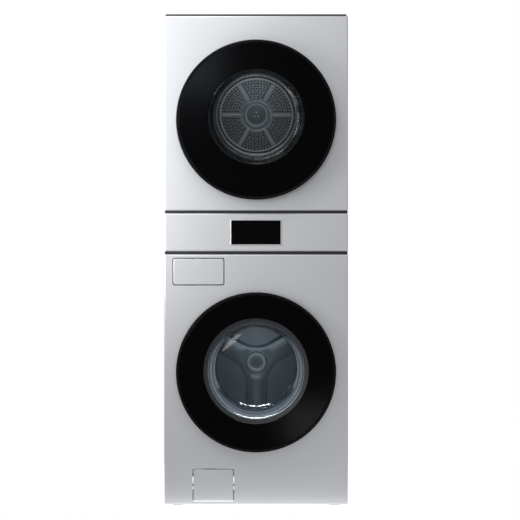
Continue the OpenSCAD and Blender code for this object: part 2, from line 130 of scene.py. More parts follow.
def node(tree, kind, **values):
    """A shader node, unless kind is the whole name of another sort."""
    made = tree.nodes.new(kind if "Node" in kind else "ShaderNode" + kind)
    for name, value in values.items():
        if hasattr(made, name):
            setattr(made, name, value)
        else:
            made.inputs[name.replace("_", " ")].default_value = value
    return made


def shader_group(name, inputs, outputs):
    group = bpy.data.node_groups.new(name, "ShaderNodeTree")
    for label, kind, value in inputs:
        socket = group.interface.new_socket(label, in_out="INPUT", socket_type=kind)
        socket.default_value = value
    for label, kind in outputs:
        group.interface.new_socket(label, in_out="OUTPUT", socket_type=kind)
    return group, group.nodes.new("NodeGroupInput"), group.nodes.new("NodeGroupOutput")


FLOAT, VECTOR = "NodeSocketFloat", "NodeSocketVector"


def stretched_noise(group, given, **values):
    place = node(group, "TexCoord")
    stretch = node(group, "VectorMath", operation="MULTIPLY")
    noise = node(group, "TexNoise", **values)
    wire(group, (place, "Object", stretch, 0), (given, "Stretch", stretch, 1), (stretch, 0, noise, "Vector"),
         (given, "Scale", noise, "Scale"))
    return noise


def grain_group():
    """Streaks of noise, drawn out along the axes where stretch is small."""
    group, given, out = shader_group(
        "surface_grain",
        [("Scale", FLOAT, 60.0), ("Stretch", VECTOR, (1, 1, 1)), ("Low", FLOAT, 0.3), ("High", FLOAT, 0.4)],
        [("Streak", FLOAT), ("Value", FLOAT)])
    noise = stretched_noise(group, given, Detail=5.0, Roughness=0.6)
    spread = node(group, "MapRange", From_Min=0.3, From_Max=0.7)
    wire(group, (noise, "Fac", spread, "Value"), (given, "Low", spread, "To Min"),
         (given, "High", spread, "To Max"), (noise, "Fac", out, "Streak"), (spread, "Result", out, "Value"))
    return group


def dust_group():
    """A mask of fine dust that settles on what faces up."""
    group, given, out = shader_group("settled_dust", [("Amount", FLOAT, 0.1)], [("Mask", FLOAT)])
    surface = node(group, "NewGeometry")
    parts = node(group, "SeparateXYZ")
    place = node(group, "TexCoord")
    speck = node(group, "TexNoise", Scale=18.0, Detail=8.0, Roughness=0.7)
    both = node(group, "Math", operation="MULTIPLY", use_clamp=True)
    amount = node(group, "Math", operation="MULTIPLY", use_clamp=True)
    wire(group, (surface, "Normal", parts, 0), (place, "Object", speck, "Vector"), (parts, "Z", both, 0),
         (speck, "Fac", both, 1), (both, 0, amount, 0), (given, "Amount", amount, 1),
         (amount, 0, out, "Mask"))
    return group


def relief_group():
    """Fine relief, such as orange peel, moulding texture or cast skin."""
    group, given, out = shader_group(
        "fine_relief",
        [("Scale", FLOAT, 300.0), ("Strength", FLOAT, 0.05), ("Distance", FLOAT, 0.001),
         ("Stretch", VECTOR, (1, 1, 1))],
        [("Normal", VECTOR)])
    noise = stretched_noise(group, given, Detail=3.0)
    bump = node(group, "Bump")
    wire(group, (noise, "Fac", bump, "Height"),
         (given, "Strength", bump, "Strength"), (given, "Distance", bump, "Distance"),
         (bump, "Normal", out, "Normal"))
    return group


GRAIN, DUST, RELIEF = grain_group(), dust_group(), relief_group()


def use_group(tree, group, **values):
    made = tree.nodes.new("ShaderNodeGroup")
    made.node_tree = group
    for name, value in values.items():
        made.inputs[name].default_value = value
    return made


def mix_colour(tree, factor, first, second):
    made = node(tree, "Mix", data_type="RGBA")
    link(tree, factor, made.inputs[0])
    for socket, value in ((made.inputs[6], first), (made.inputs[7], second)):
        if hasattr(value, "links"):
            link(tree, value, socket)
        else:
            socket.default_value = (*value, 1)
    return made.outputs[2]


# ---- materials ----
def blank(name, metallic=0.0, **sockets):
    made = bpy.data.materials.new(name)
    made.use_nodes = True
    shader = made.node_tree.nodes["Principled BSDF"]
    shader.inputs["Metallic"].default_value = metallic
    for label, value in sockets.items():
        shader.inputs[label.replace("_", " ")].default_value = value
    return made, made.node_tree, shader


def surface(name, colour, shade, rough, metallic=0.0, grain=40, relief=(400, 0.05), dust=0.06,
            along=(1, 1, 1), relief_along=None, **sockets):
    """A finish that runs from colour to shade and over the span of roughness, along one grain."""
    made, tree, shader = blank(name, metallic, **sockets)
    streak = use_group(tree, GRAIN, Scale=grain, Stretch=along, Low=rough[0], High=rough[1])
    bump = use_group(tree, RELIEF, Scale=relief[0], Strength=relief[1], Stretch=relief_along or along)
    powder = use_group(tree, DUST, Amount=dust)
    toned = mix_colour(tree, streak.outputs["Streak"], colour, shade)
    dusty = mix_colour(tree, powder.outputs["Mask"], toned, (0.5, 0.48, 0.45))
    link(tree, dusty, shader.inputs["Base Color"])
    wire(tree, (streak, "Value", shader, "Roughness"), (bump, "Normal", shader, "Normal"))
    return made


def spangled_zinc():
    """Galvanised sheet: crystals a few millimetres across, each its own grey."""
    made, tree, shader = blank("spangled_zinc", 0.9)
    place = node(tree, "TexCoord")
    crystal = node(tree, "TexVoronoi", Scale=110.0)
    grey = node(tree, "RGBToBW")
    bump = use_group(tree, RELIEF, Scale=90.0, Strength=0.04)
    wire(tree, (place, "Object", crystal, "Vector"), (crystal, "Color", grey, 0))
    toned = mix_colour(tree, grey.outputs[0], (0.42, 0.43, 0.45), (0.62, 0.63, 0.65))
    rough = node(tree, "MapRange", To_Min=0.3, To_Max=0.52)
    wire(tree, (grey, 0, rough, "Value"))
    link(tree, toned, shader.inputs["Base Color"])
    wire(tree, (rough, "Result", shader, "Roughness"), (bump, "Normal", shader, "Normal"))
    return made


def painted_reflection_rings(name, axis_z, colour, shade, rough, metallic, pitch, **sockets):
    """Fine rings about a Y axis at height axis_z, as on a turned or brushed finish; on the bowl's glass wall
    these grey rings are painted reflection.
    """
    made, tree, shader = blank(name, metallic, **sockets)
    place = node(tree, "TexCoord")
    centred = node(tree, "VectorMath", operation="SUBTRACT")
    centred.inputs[1].default_value = (0, 0, axis_z)
    across = node(tree, "VectorMath", operation="MULTIPLY")
    across.inputs[1].default_value = (1, 0, 1)
    radius = node(tree, "VectorMath", operation="LENGTH")
    rings = node(tree, "TexNoise", noise_dimensions="1D", Scale=1 / pitch, Detail=3.0)
    worn = node(tree, "MapRange", From_Min=0.35, From_Max=0.65, To_Min=rough[0], To_Max=rough[1])
    wire(tree, (place, "Object", centred, 0), (centred, 0, across, 0), (across, 0, radius, 0),
         (radius, "Value", rings, "W"), (rings, "Fac", worn, "Value"))
    contrast = node(tree, "MapRange", From_Min=0.35, From_Max=0.65)
    wire(tree, (rings, "Fac", contrast, "Value"))
    link(tree, mix_colour(tree, contrast.outputs["Result"], colour, shade), shader.inputs["Base Color"])
    wire(tree, (worn, "Result", shader, "Roughness"))
    return made


def circuit_green():
    """Lacquered board: green with paler copper tracks under the lacquer."""
    made, tree, shader = blank("circuit_green", 0.1, Coat_Weight=0.5)
    place = node(tree, "TexCoord")
    track = node(tree, "TexBrick", Scale=60.0)
    track.inputs["Color1"].default_value = (0.01, 0.11, 0.05, 1)
    track.inputs["Color2"].default_value = (0.01, 0.16, 0.07, 1)
    track.inputs["Mortar"].default_value = (0.05, 0.3, 0.12, 1)
    grain = use_group(tree, GRAIN, Scale=120.0, Low=0.3, High=0.45)
    wire(tree, (place, "Object", track, "Vector"), (track, "Color", shader, "Base Color"),
         (grain, "Value", shader, "Roughness"))
    return made


def clear_glass(name, tint, facing, edge, haze):
    """Thin-walled glass: see-through face on, more solid and bright towards its edges."""
    made, tree, shader = blank(name, 0.0, IOR=1.5)
    shader.inputs["Base Color"].default_value = (*tint, 1)
    rim = node(tree, "LayerWeight", Blend=0.35)
    cover = node(tree, "MapRange", To_Min=facing, To_Max=edge)
    film = use_group(tree, GRAIN, Scale=7.0, Low=haze[0], High=haze[1])
    wire(tree, (rim, "Facing", cover, "Value"), (cover, "Result", shader, "Alpha"),
         (film, "Value", shader, "Roughness"))
    return made


BRUSHED_DOWN = (1, 1, 0.02)
AROUND = (1, 0.03, 1)
# colour, shade, roughness, metallic, grain scale, (relief scale, strength), dust, stretch of grain, of relief
FINISHES = {
    "panel_steel": ((0.56, 0.57, 0.585), (0.6, 0.61, 0.625), (0.36, 0.42), 0.55, 900, (1400, 0.018), 0.03,
                    BRUSHED_DOWN),
    "cabinet_steel": ((0.42, 0.43, 0.45), (0.47, 0.48, 0.495), (0.38, 0.48), 0.35, 6, (700, 0.06)),
    "cover_black": ((0.01, 0.01, 0.011), (0.02, 0.02, 0.022), (0.45, 0.6), 0.0, 25, (900, 0.12)),
    "white_plastic": ((0.72, 0.73, 0.73), (0.62, 0.63, 0.64), (0.38, 0.55), 0.0, 12, (600, 0.08)),
    "dark_plastic": ((0.018, 0.018, 0.02), (0.035, 0.036, 0.04), (0.35, 0.5), 0.0, 30, (800, 0.12), 0.03),
    "rim_black": ((0.002, 0.002, 0.0024), (0.004, 0.004, 0.0045), (0.2, 0.28), 0.0, 30, (500, 0.01), 0.01),
    "door_glass": ((0.0005, 0.0006, 0.0008), (0.0009, 0.001, 0.0012), (0.1, 0.14), 0.0, 5, (30, 0.002),
                    0.004),
    "zinc_parts": ((0.5, 0.5, 0.49), (0.62, 0.62, 0.6), (0.28, 0.42), 0.95, 90, (500, 0.06)),
    "boot_rubber": ((0.05, 0.052, 0.055), (0.085, 0.087, 0.09), (0.5, 0.66), 0.0, 40, (350, 0.2), 0.1),
    "bright_metal": ((0.78, 0.79, 0.8), (0.86, 0.87, 0.88), (0.1, 0.18), 1.0, 60, (400, 0.01), 0.0),
    "drum_steel": ((0.5, 0.51, 0.53), (0.62, 0.63, 0.65), (0.2, 0.32), 1.0, 260, (600, 0.03), 0.0, AROUND),
    # a darker, bluish copy of the drum steel for the drum's back: painted shade
    "pressed_steel_painted_shade": ((0.135, 0.168, 0.19), (0.205, 0.242, 0.268), (0.3, 0.36), 1.0, 14, (500, 0.004), 0.0),
    "vent_steel": ((0.34, 0.38, 0.41), (0.42, 0.46, 0.49), (0.34, 0.44), 0.4, 160, (700, 0.06), 0.0),
    # near-black, laid in holes and in a groove where there is only shade: painted shade
    "hole_painted_shade": ((0.002, 0.002, 0.002), (0.006, 0.006, 0.006), (0.7, 0.9), 0.0),
    "lifter_grey": ((0.3, 0.31, 0.33), (0.36, 0.37, 0.39), (0.35, 0.48), 0.0, 20, (500, 0.08), 0.0),
    "compressor_paint": ((0.012, 0.012, 0.013), (0.025, 0.025, 0.027), (0.25, 0.4), 0.1, 14, (250, 0.15)),
    "coil_fins": ((0.68, 0.69, 0.7), (0.8, 0.81, 0.82), (0.25, 0.4), 1.0, 300, (900, 0.1), 0.06,
                    (0.05, 1, 1)),
    "motor_steel": ((0.2, 0.2, 0.21), (0.32, 0.32, 0.33), (0.35, 0.5), 0.85, 500, (900, 0.15), 0.06, AROUND,
                    (0.05, 1, 0.05)),
    "counter_iron": ((0.09, 0.09, 0.095), (0.16, 0.155, 0.15), (0.65, 0.85), 0.3, 60, (220, 0.5)),
    "display_glass": ((0.001, 0.001, 0.0012), (0.0014, 0.0014, 0.0016), (0.1, 0.14), 0.0, 8, (60, 0.004),
                    0.01),
    # a near-white copy of the drum steel on ribs, beads, rims and studs: painted highlight
    "steel_painted_highlight": ((0.84, 0.88, 0.91), (0.9, 0.94, 0.97), (0.3, 0.42), 0.2, 200, (500, 0.02), 0.0),
    "eyelet_steel": ((0.5, 0.51, 0.53), (0.62, 0.63, 0.65), (0.25, 0.35), 1.0, 200, (500, 0.03), 0.0),
    # a dark copy of the drum steel for the back's outer band: painted shade
    "outer_steel_painted_shade": ((0.07, 0.08, 0.09), (0.11, 0.125, 0.135), (0.25, 0.35), 0.7, 200, (500, 0.02), 0.0),
    "cap_teal": ((0.2, 0.26, 0.28), (0.26, 0.32, 0.34), (0.3, 0.42), 0.0, 60, (400, 0.06), 0.0),
}
LOOK = {name: surface(name, *values) for name, values in FINISHES.items()}
# the bowl's glass wall in grey streaked rings, standing in for the drum mirrored in it: painted reflection
LOOK["bowl_wall_painted_reflection"] = painted_reflection_rings("bowl_wall_painted_reflection", WASH_BOWL_Z, (0.003, 0.004, 0.005), (0.085, 0.096, 0.11), (0.16, 0.3),
                         0.3, 2.5 * MM, Alpha=0.78)
LOOK["bowl_glass"] = clear_glass("bowl_glass", (0.004, 0.006, 0.007), 0.5, 0.93, (0.03, 0.06))
LOOK["window_glass"] = clear_glass("window_glass", (0.002, 0.003, 0.0035), 0.38, 0.97, (0.03, 0.06))
LOOK["spangled_zinc"] = spangled_zinc()
LOOK["circuit_green"] = circuit_green()
for name, level in (("rim_black", 0.1), ("door_glass", 0.035), ("display_glass", 0.035)):
    LOOK[name].node_tree.nodes["Principled BSDF"].inputs["Specular IOR Level"].default_value = level

SLOT_LOOK = {               # slots whose finish has another name
    "galvanised": "spangled_zinc", "steel_parts": "zinc_parts", "bezel_chrome": "bright_metal",
    "black_glass": "door_glass", "clear_glass": "bowl_glass", "circuit_board": "circuit_green",
    "compressor_black": "compressor_paint", "coil_aluminium": "coil_fins",
    "counterweight_iron": "counter_iron", "drum_stainless": "drum_steel", "lifter_plastic": "lifter_grey",
}


def dress_cad_nodes():
    """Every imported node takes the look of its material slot."""
    slots = {part["node"]: part["material_slot"] for part in frame["record"]["subparts"]}
    for name, obj in frame["nodes"].items():
        look = LOOK[SLOT_LOOK.get(slots[name], slots[name])]
        if not obj.material_slots:
            obj.data.materials.append(look)
        for holder in obj.material_slots:
            holder.material = look


dress_cad_nodes()


# ---- mesh helpers ----
def place(obj, body, slot, *nodes):
    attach(obj, body)
    if nodes:
        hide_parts(*nodes)
    return obj


def to_object(name, bm, look, turn=UPRIGHT, crease=CREASE):
    bmesh.ops.remove_doubles(bm, verts=bm.verts, dist=WELD)
    bmesh.ops.transform(bm, matrix=turn, verts=bm.verts)
    bmesh.ops.recalc_face_normals(bm, faces=bm.faces)
    for face in bm.faces:
        face.smooth = max(abs(c) for c in face.normal) < SQUARE
    for edge in bm.edges:
        if len(edge.link_faces) == 2 and edge.calc_face_angle(0) > radians(crease):
            edge.smooth = False
    mesh = bpy.data.meshes.new(name)
    bm.to_mesh(mesh)
    bm.free()
    mesh.materials.append(LOOK[look])
    obj = bpy.data.objects.new(name, mesh)
    scene.collection.objects.link(obj)
    return obj


def add_look(obj, look, chosen):
    """Gives the chosen faces a second finish."""
    obj.data.materials.append(LOOK[look])
    for part in obj.data.polygons:
        if chosen(part):
            part.material_index = 1


def off_axis(part, axis_z):
    """A face's distance from a Y axis at height axis_z."""
    return hypot(part.center.x, part.center.z - axis_z)


def bridge(bm, near, far):
    """Faces between two rings; a ring of one point is a pole."""
    if len(near) == 1 and len(far) == 1:
        return
    count = max(len(near), len(far))
    for i in range(count):
        j = (i + 1) % count
        corners = [near[i % len(near)], near[j % len(near)], far[j % len(far)], far[i % len(far)]]
        corners = [v for k, v in enumerate(corners) if v not in corners[:k]]
        bm.faces.new(corners)


def loft(bm, loops, capped=True):
    for near, far in zip(loops, loops[1:]):
        bridge(bm, near, far)
    if capped:
        for end in (loops[0], loops[-1]):
            bm.faces.new(end)


def mm(points):
    """Points given in millimetres, in metres."""
    return [tuple(value * MM for value in point) for point in points]


def turned(bm, profile, x, z, sides=SEGMENTS):
    """A closed profile of (radius, y, rise) turned about a Y axis; rise lifts that ring's centre."""
    rings = []
    for radius, y, rise in ((*point, 0.0)[:3] for point in profile):
        height = y if callable(y) else lambda angle, flat=y: flat
        if radius < WELD:
            rings.append([bm.verts.new((x, height(0.0), z + rise))])
            continue
        angles = (2 * pi * i / sides for i in range(sides))
        rings.append([bm.verts.new((x + radius * cos(a), height(a), z + rise + radius * sin(a)))
                      for a in angles])
    loft(bm, rings + rings[:1], False)


def lathe(name, profile, z, look, sides=SEGMENTS, crease=CREASE, x=0.0):
    bm = bmesh.new()
    turned(bm, profile, x, z, sides)
    return to_object(name, bm, look, crease=crease)


def rounded_rectangle(centre, size, corner, steps=8):
    """Gives a function from an inset to the outline's points."""
    def outline(inset):
        radius = max(corner - inset, 0.0004)
        points = []
        for side_x, side_z, first in ((1, 1, 0), (-1, 1, 90), (-1, -1, 180), (1, -1, 270)):
            mid_x = centre[0] + side_x * (size[0] / 2 - inset - radius)
            mid_z = centre[1] + side_z * (size[1] / 2 - inset - radius)
            for k in range(steps + 1):
                angle = radians(first + 90 * k / steps)
                points.append((mid_x + radius * cos(angle), mid_z + radius * sin(angle)))
        return points
    return outline


def circle(centre, radius, sides=SEGMENTS):
    def outline(inset):
        angles = (2 * pi * i / sides for i in range(sides))
        return [(centre[0] + (radius - inset) * cos(a), centre[1] + (radius - inset) * sin(a))
                for a in angles]
    return outline


def round_over(front, bevel, steps=5):
    """(inset, y) levels of a quarter-round edge, from the side to the face, with a flat band after it."""
    angles = [radians(90 * k / steps) for k in range(steps + 1)]
    levels = [(bevel * (1 - cos(a)), front + bevel * (1 - sin(a))) for a in angles]
    return levels + [(bevel + 0.8 * MM, front)]


def from_level(base, pairs):
    """(inset, y) levels, given in millimetres with y counted from base."""
    return [(inset * MM, base + rise * MM) for inset, rise in pairs]


def fill(bm, loops):
    edges = []
    for ring in loops:
        for a, b in zip(ring, ring[1:] + ring[:1]):
            edges.append(bm.edges.get((a, b)) or bm.edges.new((a, b)))
    bmesh.ops.triangle_fill(bm, use_beauty=True, use_dissolve=False, edges=edges)


def stack(bm, outline, levels):
    loops = [[bm.verts.new((x, y, z)) for x, z in outline(inset)] for inset, y in levels]
    loft(bm, loops, False)
    return loops


def sheet_piece(name, outline, holes, front, depth, bevel, wall, look, turn=UPRIGHT, field=None):
    """A sheet pressed into a shallow pan: rounded edge, returned sides, holes, and a sunk field if given."""
    bm = bmesh.new()
    outside = [(0, front + depth)] + round_over(front, bevel)
    inside = [(wall, front + depth)] + [(wall + i * (bevel - wall) / bevel, y)
                                        for i, y in round_over(front + wall, bevel - wall)]
    if field:
        inset, sunk = field
        outside += [(inset, front), (inset + 2 * sunk, front + sunk)]
        outside.append((inset + 2 * sunk + MM, front + sunk))
        inside += [(inset, front + wall), (inset + 2 * sunk, front + wall + sunk)]
        front += sunk
    outer, inner = stack(bm, outline, outside), stack(bm, outline, inside)
    bridge(bm, outer[0], inner[0])
    lip = 0.5 * MM
    cuts = [stack(bm, hole, [(-lip, front), (-0.3 * lip, front + 0.3 * lip), (0, front + lip),
                             (0, front + wall)]) for hole in holes]
    fill(bm, [outer[-1]] + [cut[0] for cut in cuts])
    fill(bm, [inner[-1]] + [cut[-1] for cut in cuts])
    return to_object(name, bm, look, turn)


def plate_piece(name, outline, holes, front, depth, bevel, look):
    """A solid plate with a rounded front edge."""
    bm = bmesh.new()
    outer = stack(bm, outline, from_level(front + depth, [(0.3, 0), (0, -0.3)]) + round_over(front, bevel))
    cuts = [stack(bm, hole, [(-bevel, front), (-0.3 * bevel, front + 0.3 * bevel), (0, front + bevel),
                             (0, front + depth)]) for hole in holes]
    fill(bm, [outer[-1]] + [cut[0] for cut in cuts])
    fill(bm, [outer[0]] + [cut[-1] for cut in cuts])
    return to_object(name, bm, look)


def tube(bm, path, radius, sides=8):
    """A round bar along a path, with closed ends."""
    rings = []
    normal = Vector((0, 1, 0.01))
    for i, point in enumerate(path):
        ahead = (path[min(i + 1, len(path) - 1)] - path[max(i - 1, 0)]).normalized()
        normal = (normal - ahead * normal.dot(ahead)).normalized()
        across = ahead.cross(normal)
        rings.append([bm.verts.new(point + radius * (normal * cos(a) + across * sin(a)))
                      for a in (2 * pi * k / sides for k in range(sides))])
    loft(bm, rings)


def smooth_step(low, high, value):
    t = min(max((value - low) / (high - low), 0), 1)
    return t * t * (3 - 2 * t)


# ---- geometry node trees, for what repeats ----
def pattern_tree(name, inputs):
    group = bpy.data.node_groups.new(name, "GeometryNodeTree")
    group.interface.new_socket("Geometry", in_out="INPUT", socket_type="NodeSocketGeometry")
    for label, kind in inputs + [("Piece", "NodeSocketObject"), ("Look", "NodeSocketMaterial")]:
        group.interface.new_socket(label, in_out="INPUT", socket_type=kind)
    group.interface.new_socket("Geometry", in_out="OUTPUT", socket_type="NodeSocketGeometry")
    given, out = group.nodes.new("NodeGroupInput"), group.nodes.new("NodeGroupOutput")
    piece = node(group, "GeometryNodeObjectInfo", transform_space="ORIGINAL")
    piece.inputs["As Instance"].default_value = True
    copies = node(group, "GeometryNodeInstanceOnPoints")
    real = node(group, "GeometryNodeRealizeInstances")
    look = node(group, "GeometryNodeSetMaterial")
    wire(group, (given, "Piece", piece, "Object"), (piece, "Geometry", copies, "Instance"),
         (copies, "Instances", real, "Geometry"), (given, "Look", look, "Material"),
         (look, "Geometry", out, "Geometry"))
    return group, given, copies, real, look


def row_tree():
    """Count copies, Step apart, from Start."""
    group, given, copies, real, look = pattern_tree(
        "row_of_pieces", [("Count", "NodeSocketInt"), ("Start", VECTOR), ("Step", VECTOR)])
    line = node(group, "GeometryNodeMeshLine", mode="OFFSET")
    wire(group, (given, "Count", line, "Count"), (given, "Start", line, "Start Location"),
         (given, "Step", line, "Offset"), (line, "Mesh", copies, "Points"),
         (real, "Geometry", look, "Geometry"))
    return group


def ring_tree():
    """Count copies turned about a Y axis through Axis, the first at First radians."""
    group, given, copies, real, look = pattern_tree(
        "ring_of_pieces", [("Count", "NodeSocketInt"), ("First", FLOAT), ("Axis", VECTOR)])
    points = node(group, "GeometryNodePoints")
    index = node(group, "GeometryNodeInputIndex")
    share = node(group, "Math", operation="DIVIDE")
    turn = node(group, "Math", operation="MULTIPLY_ADD")
    turn.inputs[1].default_value = -2 * pi
    back = node(group, "Math", operation="MULTIPLY")
    back.inputs[1].default_value = -1.0
    about = node(group, "CombineXYZ")
    shift = node(group, "GeometryNodeTransform")
    wire(group, (given, "Count", points, "Count"), (index, 0, share, 0), (given, "Count", share, 1),
         (share, 0, turn, 0), (given, "First", back, 0), (back, 0, turn, 2), (turn, 0, about, "Y"),
         (points, 0, copies, "Points"), (about, 0, copies, "Rotation"),
         (real, "Geometry", shift, "Geometry"), (given, "Axis", shift, "Translation"),
         (shift, "Geometry", look, "Geometry"))
    return group


def point_tree():
    """One copy on each point of the base mesh, turned as its attribute 'turn' says."""
    group, given, copies, real, look = pattern_tree("pieces_on_points", [("Size", FLOAT)])
    turn = node(group, "GeometryNodeInputNamedAttribute", data_type="FLOAT_VECTOR")
    turn.inputs["Name"].default_value = "turn"
    wire(group, (given, "Geometry", copies, "Points"), (turn, "Attribute", copies, "Rotation"),
         (given, "Size", copies, "Scale"), (real, "Geometry", look, "Geometry"))
    return group


ROW, RING, ON_POINTS = row_tree(), ring_tree(), point_tree()


def grow(name, group, piece, look, points=None, turns=None, **values):
    """Runs a tree on a base mesh of points and keeps its result as a plain mesh."""
    base = bpy.data.meshes.new(name + "_points")
    base.from_pydata(points or [(0, 0, 0)], [], [])
    turn = base.attributes.new("turn", "FLOAT_VECTOR", "POINT")
    turns = turns or [(0, 0, 0)] * len(base.vertices)
    turn.data.foreach_set("vector", [value for t in turns for value in t])
    holder = bpy.data.objects.new(name + "_holder", base)
    scene.collection.objects.link(holder)
    pattern = holder.modifiers.new("pattern", "NODES")
    pattern.node_group = group
    values.update({"Piece": piece, "Look": LOOK[look]})
    for item in group.interface.items_tree:
        if item.in_out == "INPUT" and item.name in values:
            pattern[item.identifier] = values[item.name]
    bpy.context.view_layer.update()
    graph = bpy.context.evaluated_depsgraph_get()
    mesh = bpy.data.meshes.new_from_object(holder.evaluated_get(graph), depsgraph=graph)
    mesh.name = name
    obj = bpy.data.objects.new(name, mesh)
    scene.collection.objects.link(obj)
    holder.modifiers.remove(pattern)
    bpy.data.objects.remove(holder)
    bpy.data.objects.remove(piece)
    return obj


# ---- small shapes that the trees repeat ----
def screw_head(turn=UPRIGHT, radius=4 * MM, height=1.6 * MM):
    """A pan-head screw with a recess, facing -Y until turned."""
    bm = bmesh.new()
    turned(bm, [(0, 0), (radius, 0), (radius, -0.35 * height), (0.86 * radius, -0.78 * height),
                (0.55 * radius, -height), (0.2 * radius, -height), (0, -0.6 * height)], 0, 0, 16)
    return to_object("screw_shape", bm, "zinc_parts", turn)


def disc(radius, height, sides=10):
    """A thin near-black disc facing -Y, standing in for a hole: painted shade."""
    bm = bmesh.new()
    turned(bm, [(0, 0), (radius, 0), (radius, -height), (0, -height)], 0, 0, sides)
    return to_object("disc_shape", bm, "hole_painted_shade")


def eyelet(radius, lip, height, sides=10):
    """The rolled lip of a punched hole, facing -Y."""
    bm = bmesh.new()
    turned(bm, [(radius, 0), (radius + lip, 0), (radius + 0.5 * lip, -height), (radius, -0.6 * height)],
           0, 0, sides)
    return to_object("eyelet_shape", bm, "vent_steel")


def bar_piece(name, low, high, bevel, look):
    """A box with rounded edges."""
    bm = bmesh.new()
    bmesh.ops.create_cube(bm, size=1.0)
    for vert in bm.verts:
        vert.co = Vector(l if c < 0 else h for c, l, h in zip(vert.co, low, high))
    bmesh.ops.bevel(bm, geom=bm.edges[:], offset=bevel, segments=3, affect="EDGES", profile=0.5)
    return to_object(name, bm, look)


# ---- cabinet ----
SHEET = 1.2 * MM
EDGE = 5 * MM                   # rounded edge of the front panels
CORNER = 6 * MM
WASH_OPENING = 214 * MM
DRY_OPENING = 192 * MM
HINGE_SLOT = (14 * MM, 80 * MM)
LATCH_SLOT = (22 * MM, 28 * MM)
LATCH_X = 286 * MM


def box_outline(node_name, corner=CORNER, gap=0.0):
    """A node's outline as seen from the front, with room left round it."""
    low, high, mid, size = span(node_name)
    return rounded_rectangle((mid.x, mid.z), (size.x + 2 * gap, size.z + 2 * gap), corner)


def door_holes(door_z):
    """The slots for a door's hinge arms and latch hook."""
    return [rounded_rectangle((HINGE.x, door_z), HINGE_SLOT, 2 * MM, 3),
            rounded_rectangle((LATCH_X, door_z), LATCH_SLOT, 2 * MM, 3)]


def front_panels():
    gap = 3 * MM
    washer_holes = [circle((0, WASH_Z), WASH_OPENING), box_outline("drawer_front", 9 * MM, gap),
                    box_outline("filter_cover", 8 * MM, gap)] + door_holes(WASH_Z)
    dryer_holes = [circle((0, DRY_PORT_Z), DRY_OPENING)] + door_holes(DRY_DOOR_Z)
    display_hole = [box_outline("display_bezel", 3 * MM)]
    for name, node_name, holes in (("washer_front", "washer_front_panel", washer_holes),
                                   ("dryer_front", "dryer_front_panel", dryer_holes),
                                   ("control_fascia", "control_panel", display_hole)):
        panel = sheet_piece(name, box_outline(node_name), holes, FRONT_Y, RETURN_DEPTH, EDGE, SHEET,
                            "panel_steel")
        place(panel, "cabinet", "panel_steel", node_name)


def side_panels():
    for name, turn, side in (("side_panel_right", TO_RIGHT, 1), ("side_panel_left", TO_LEFT, -1)):
        mid, size = span(name)[2:]
        outline = rounded_rectangle((side * mid.y, mid.z), (size.y, size.z), 3 * MM)
        skin = sheet_piece(name + "_skin", outline, [], -HALF_WIDTH, size.x, 2.5 * MM, MM,
                           "cabinet_steel", turn, field=(55 * MM, 2 * MM))
        place(skin, "cabinet", "cabinet_steel", name)


def top_cover():
    low, high, mid, size = span("top_cover")
    outline = rounded_rectangle((mid.x, mid.y), (size.x, size.y), 8 * MM)
    bm = bmesh.new()
    levels = from_level(-low.z, [(0.3, 0), (0, -0.3)]) + round_over(-high.z, 2.5 * MM)
    loops = stack(bm, outline, levels + from_level(-high.z, [(20, 0), (23, 1.5), (24, 1.5)]))
    fill(bm, [loops[0]])
    fill(bm, [loops[-1]])
    cover = to_object("top_cover_plate", bm, "cover_black", TO_TOP)
    place(cover, "cabinet", "cover_black", "top_cover")


front_panels()
side_panels()
top_cover()


# ---- doors ----
def door_pane(name, door_z, port_z, port_radius, body, node_name):
    """A door's front: a glass disc with its round window, a groove, and the black rim round it."""
    front, back = DOOR_FRONT, GLASS_BACK
    edge = [(0, 5.5), (0.6, 3.4), (2.2, 1.9), (4.5, 1.3), (8.6, 1.1), (9.4, 1.5), (9.7, 3), (10.5, 3),
            (10.8, 1.2), (11.4, 0.4), (12.6, 0), (13.6, 0)]
    levels = from_level(back, [(0.4, 0), (0, -0.4)]) + from_level(front, edge)
    bm = bmesh.new()
    outer = stack(bm, circle((0, door_z), DOOR_RADIUS), levels)
    levels = from_level(front, [(-1.6, 0), (-0.5, 0.5), (0, 1.6)]) + [(0, back)]
    port = stack(bm, circle((0, port_z), port_radius), levels)
    fill(bm, [outer[-1], port[0]])
    fill(bm, [outer[0], port[-1]])
    pane = to_object(name, bm, "door_glass", crease=50)
    add_look(pane, "rim_black", lambda part: off_axis(part, door_z) > DOOR_RADIUS - RIM)
    return place(pane, body, "black_glass", node_name)


def door_screws(name, door_z, body):
    """Screws round the back of a door."""
    head = [(3.6, 0), (3.6, 0.5), (2.8, 1.1), (0, 1.2), (0, 0)]
    shape = lathe("screw_shape", mm(head), 0, "zinc_parts", 16, x=245 * MM)
    ring = grow(name, RING, shape, "zinc_parts", Count=10, First=radians(18),
                Axis=(0, DOOR_BACK - 0.1 * MM, door_z))
    place(ring, body, "steel_parts")


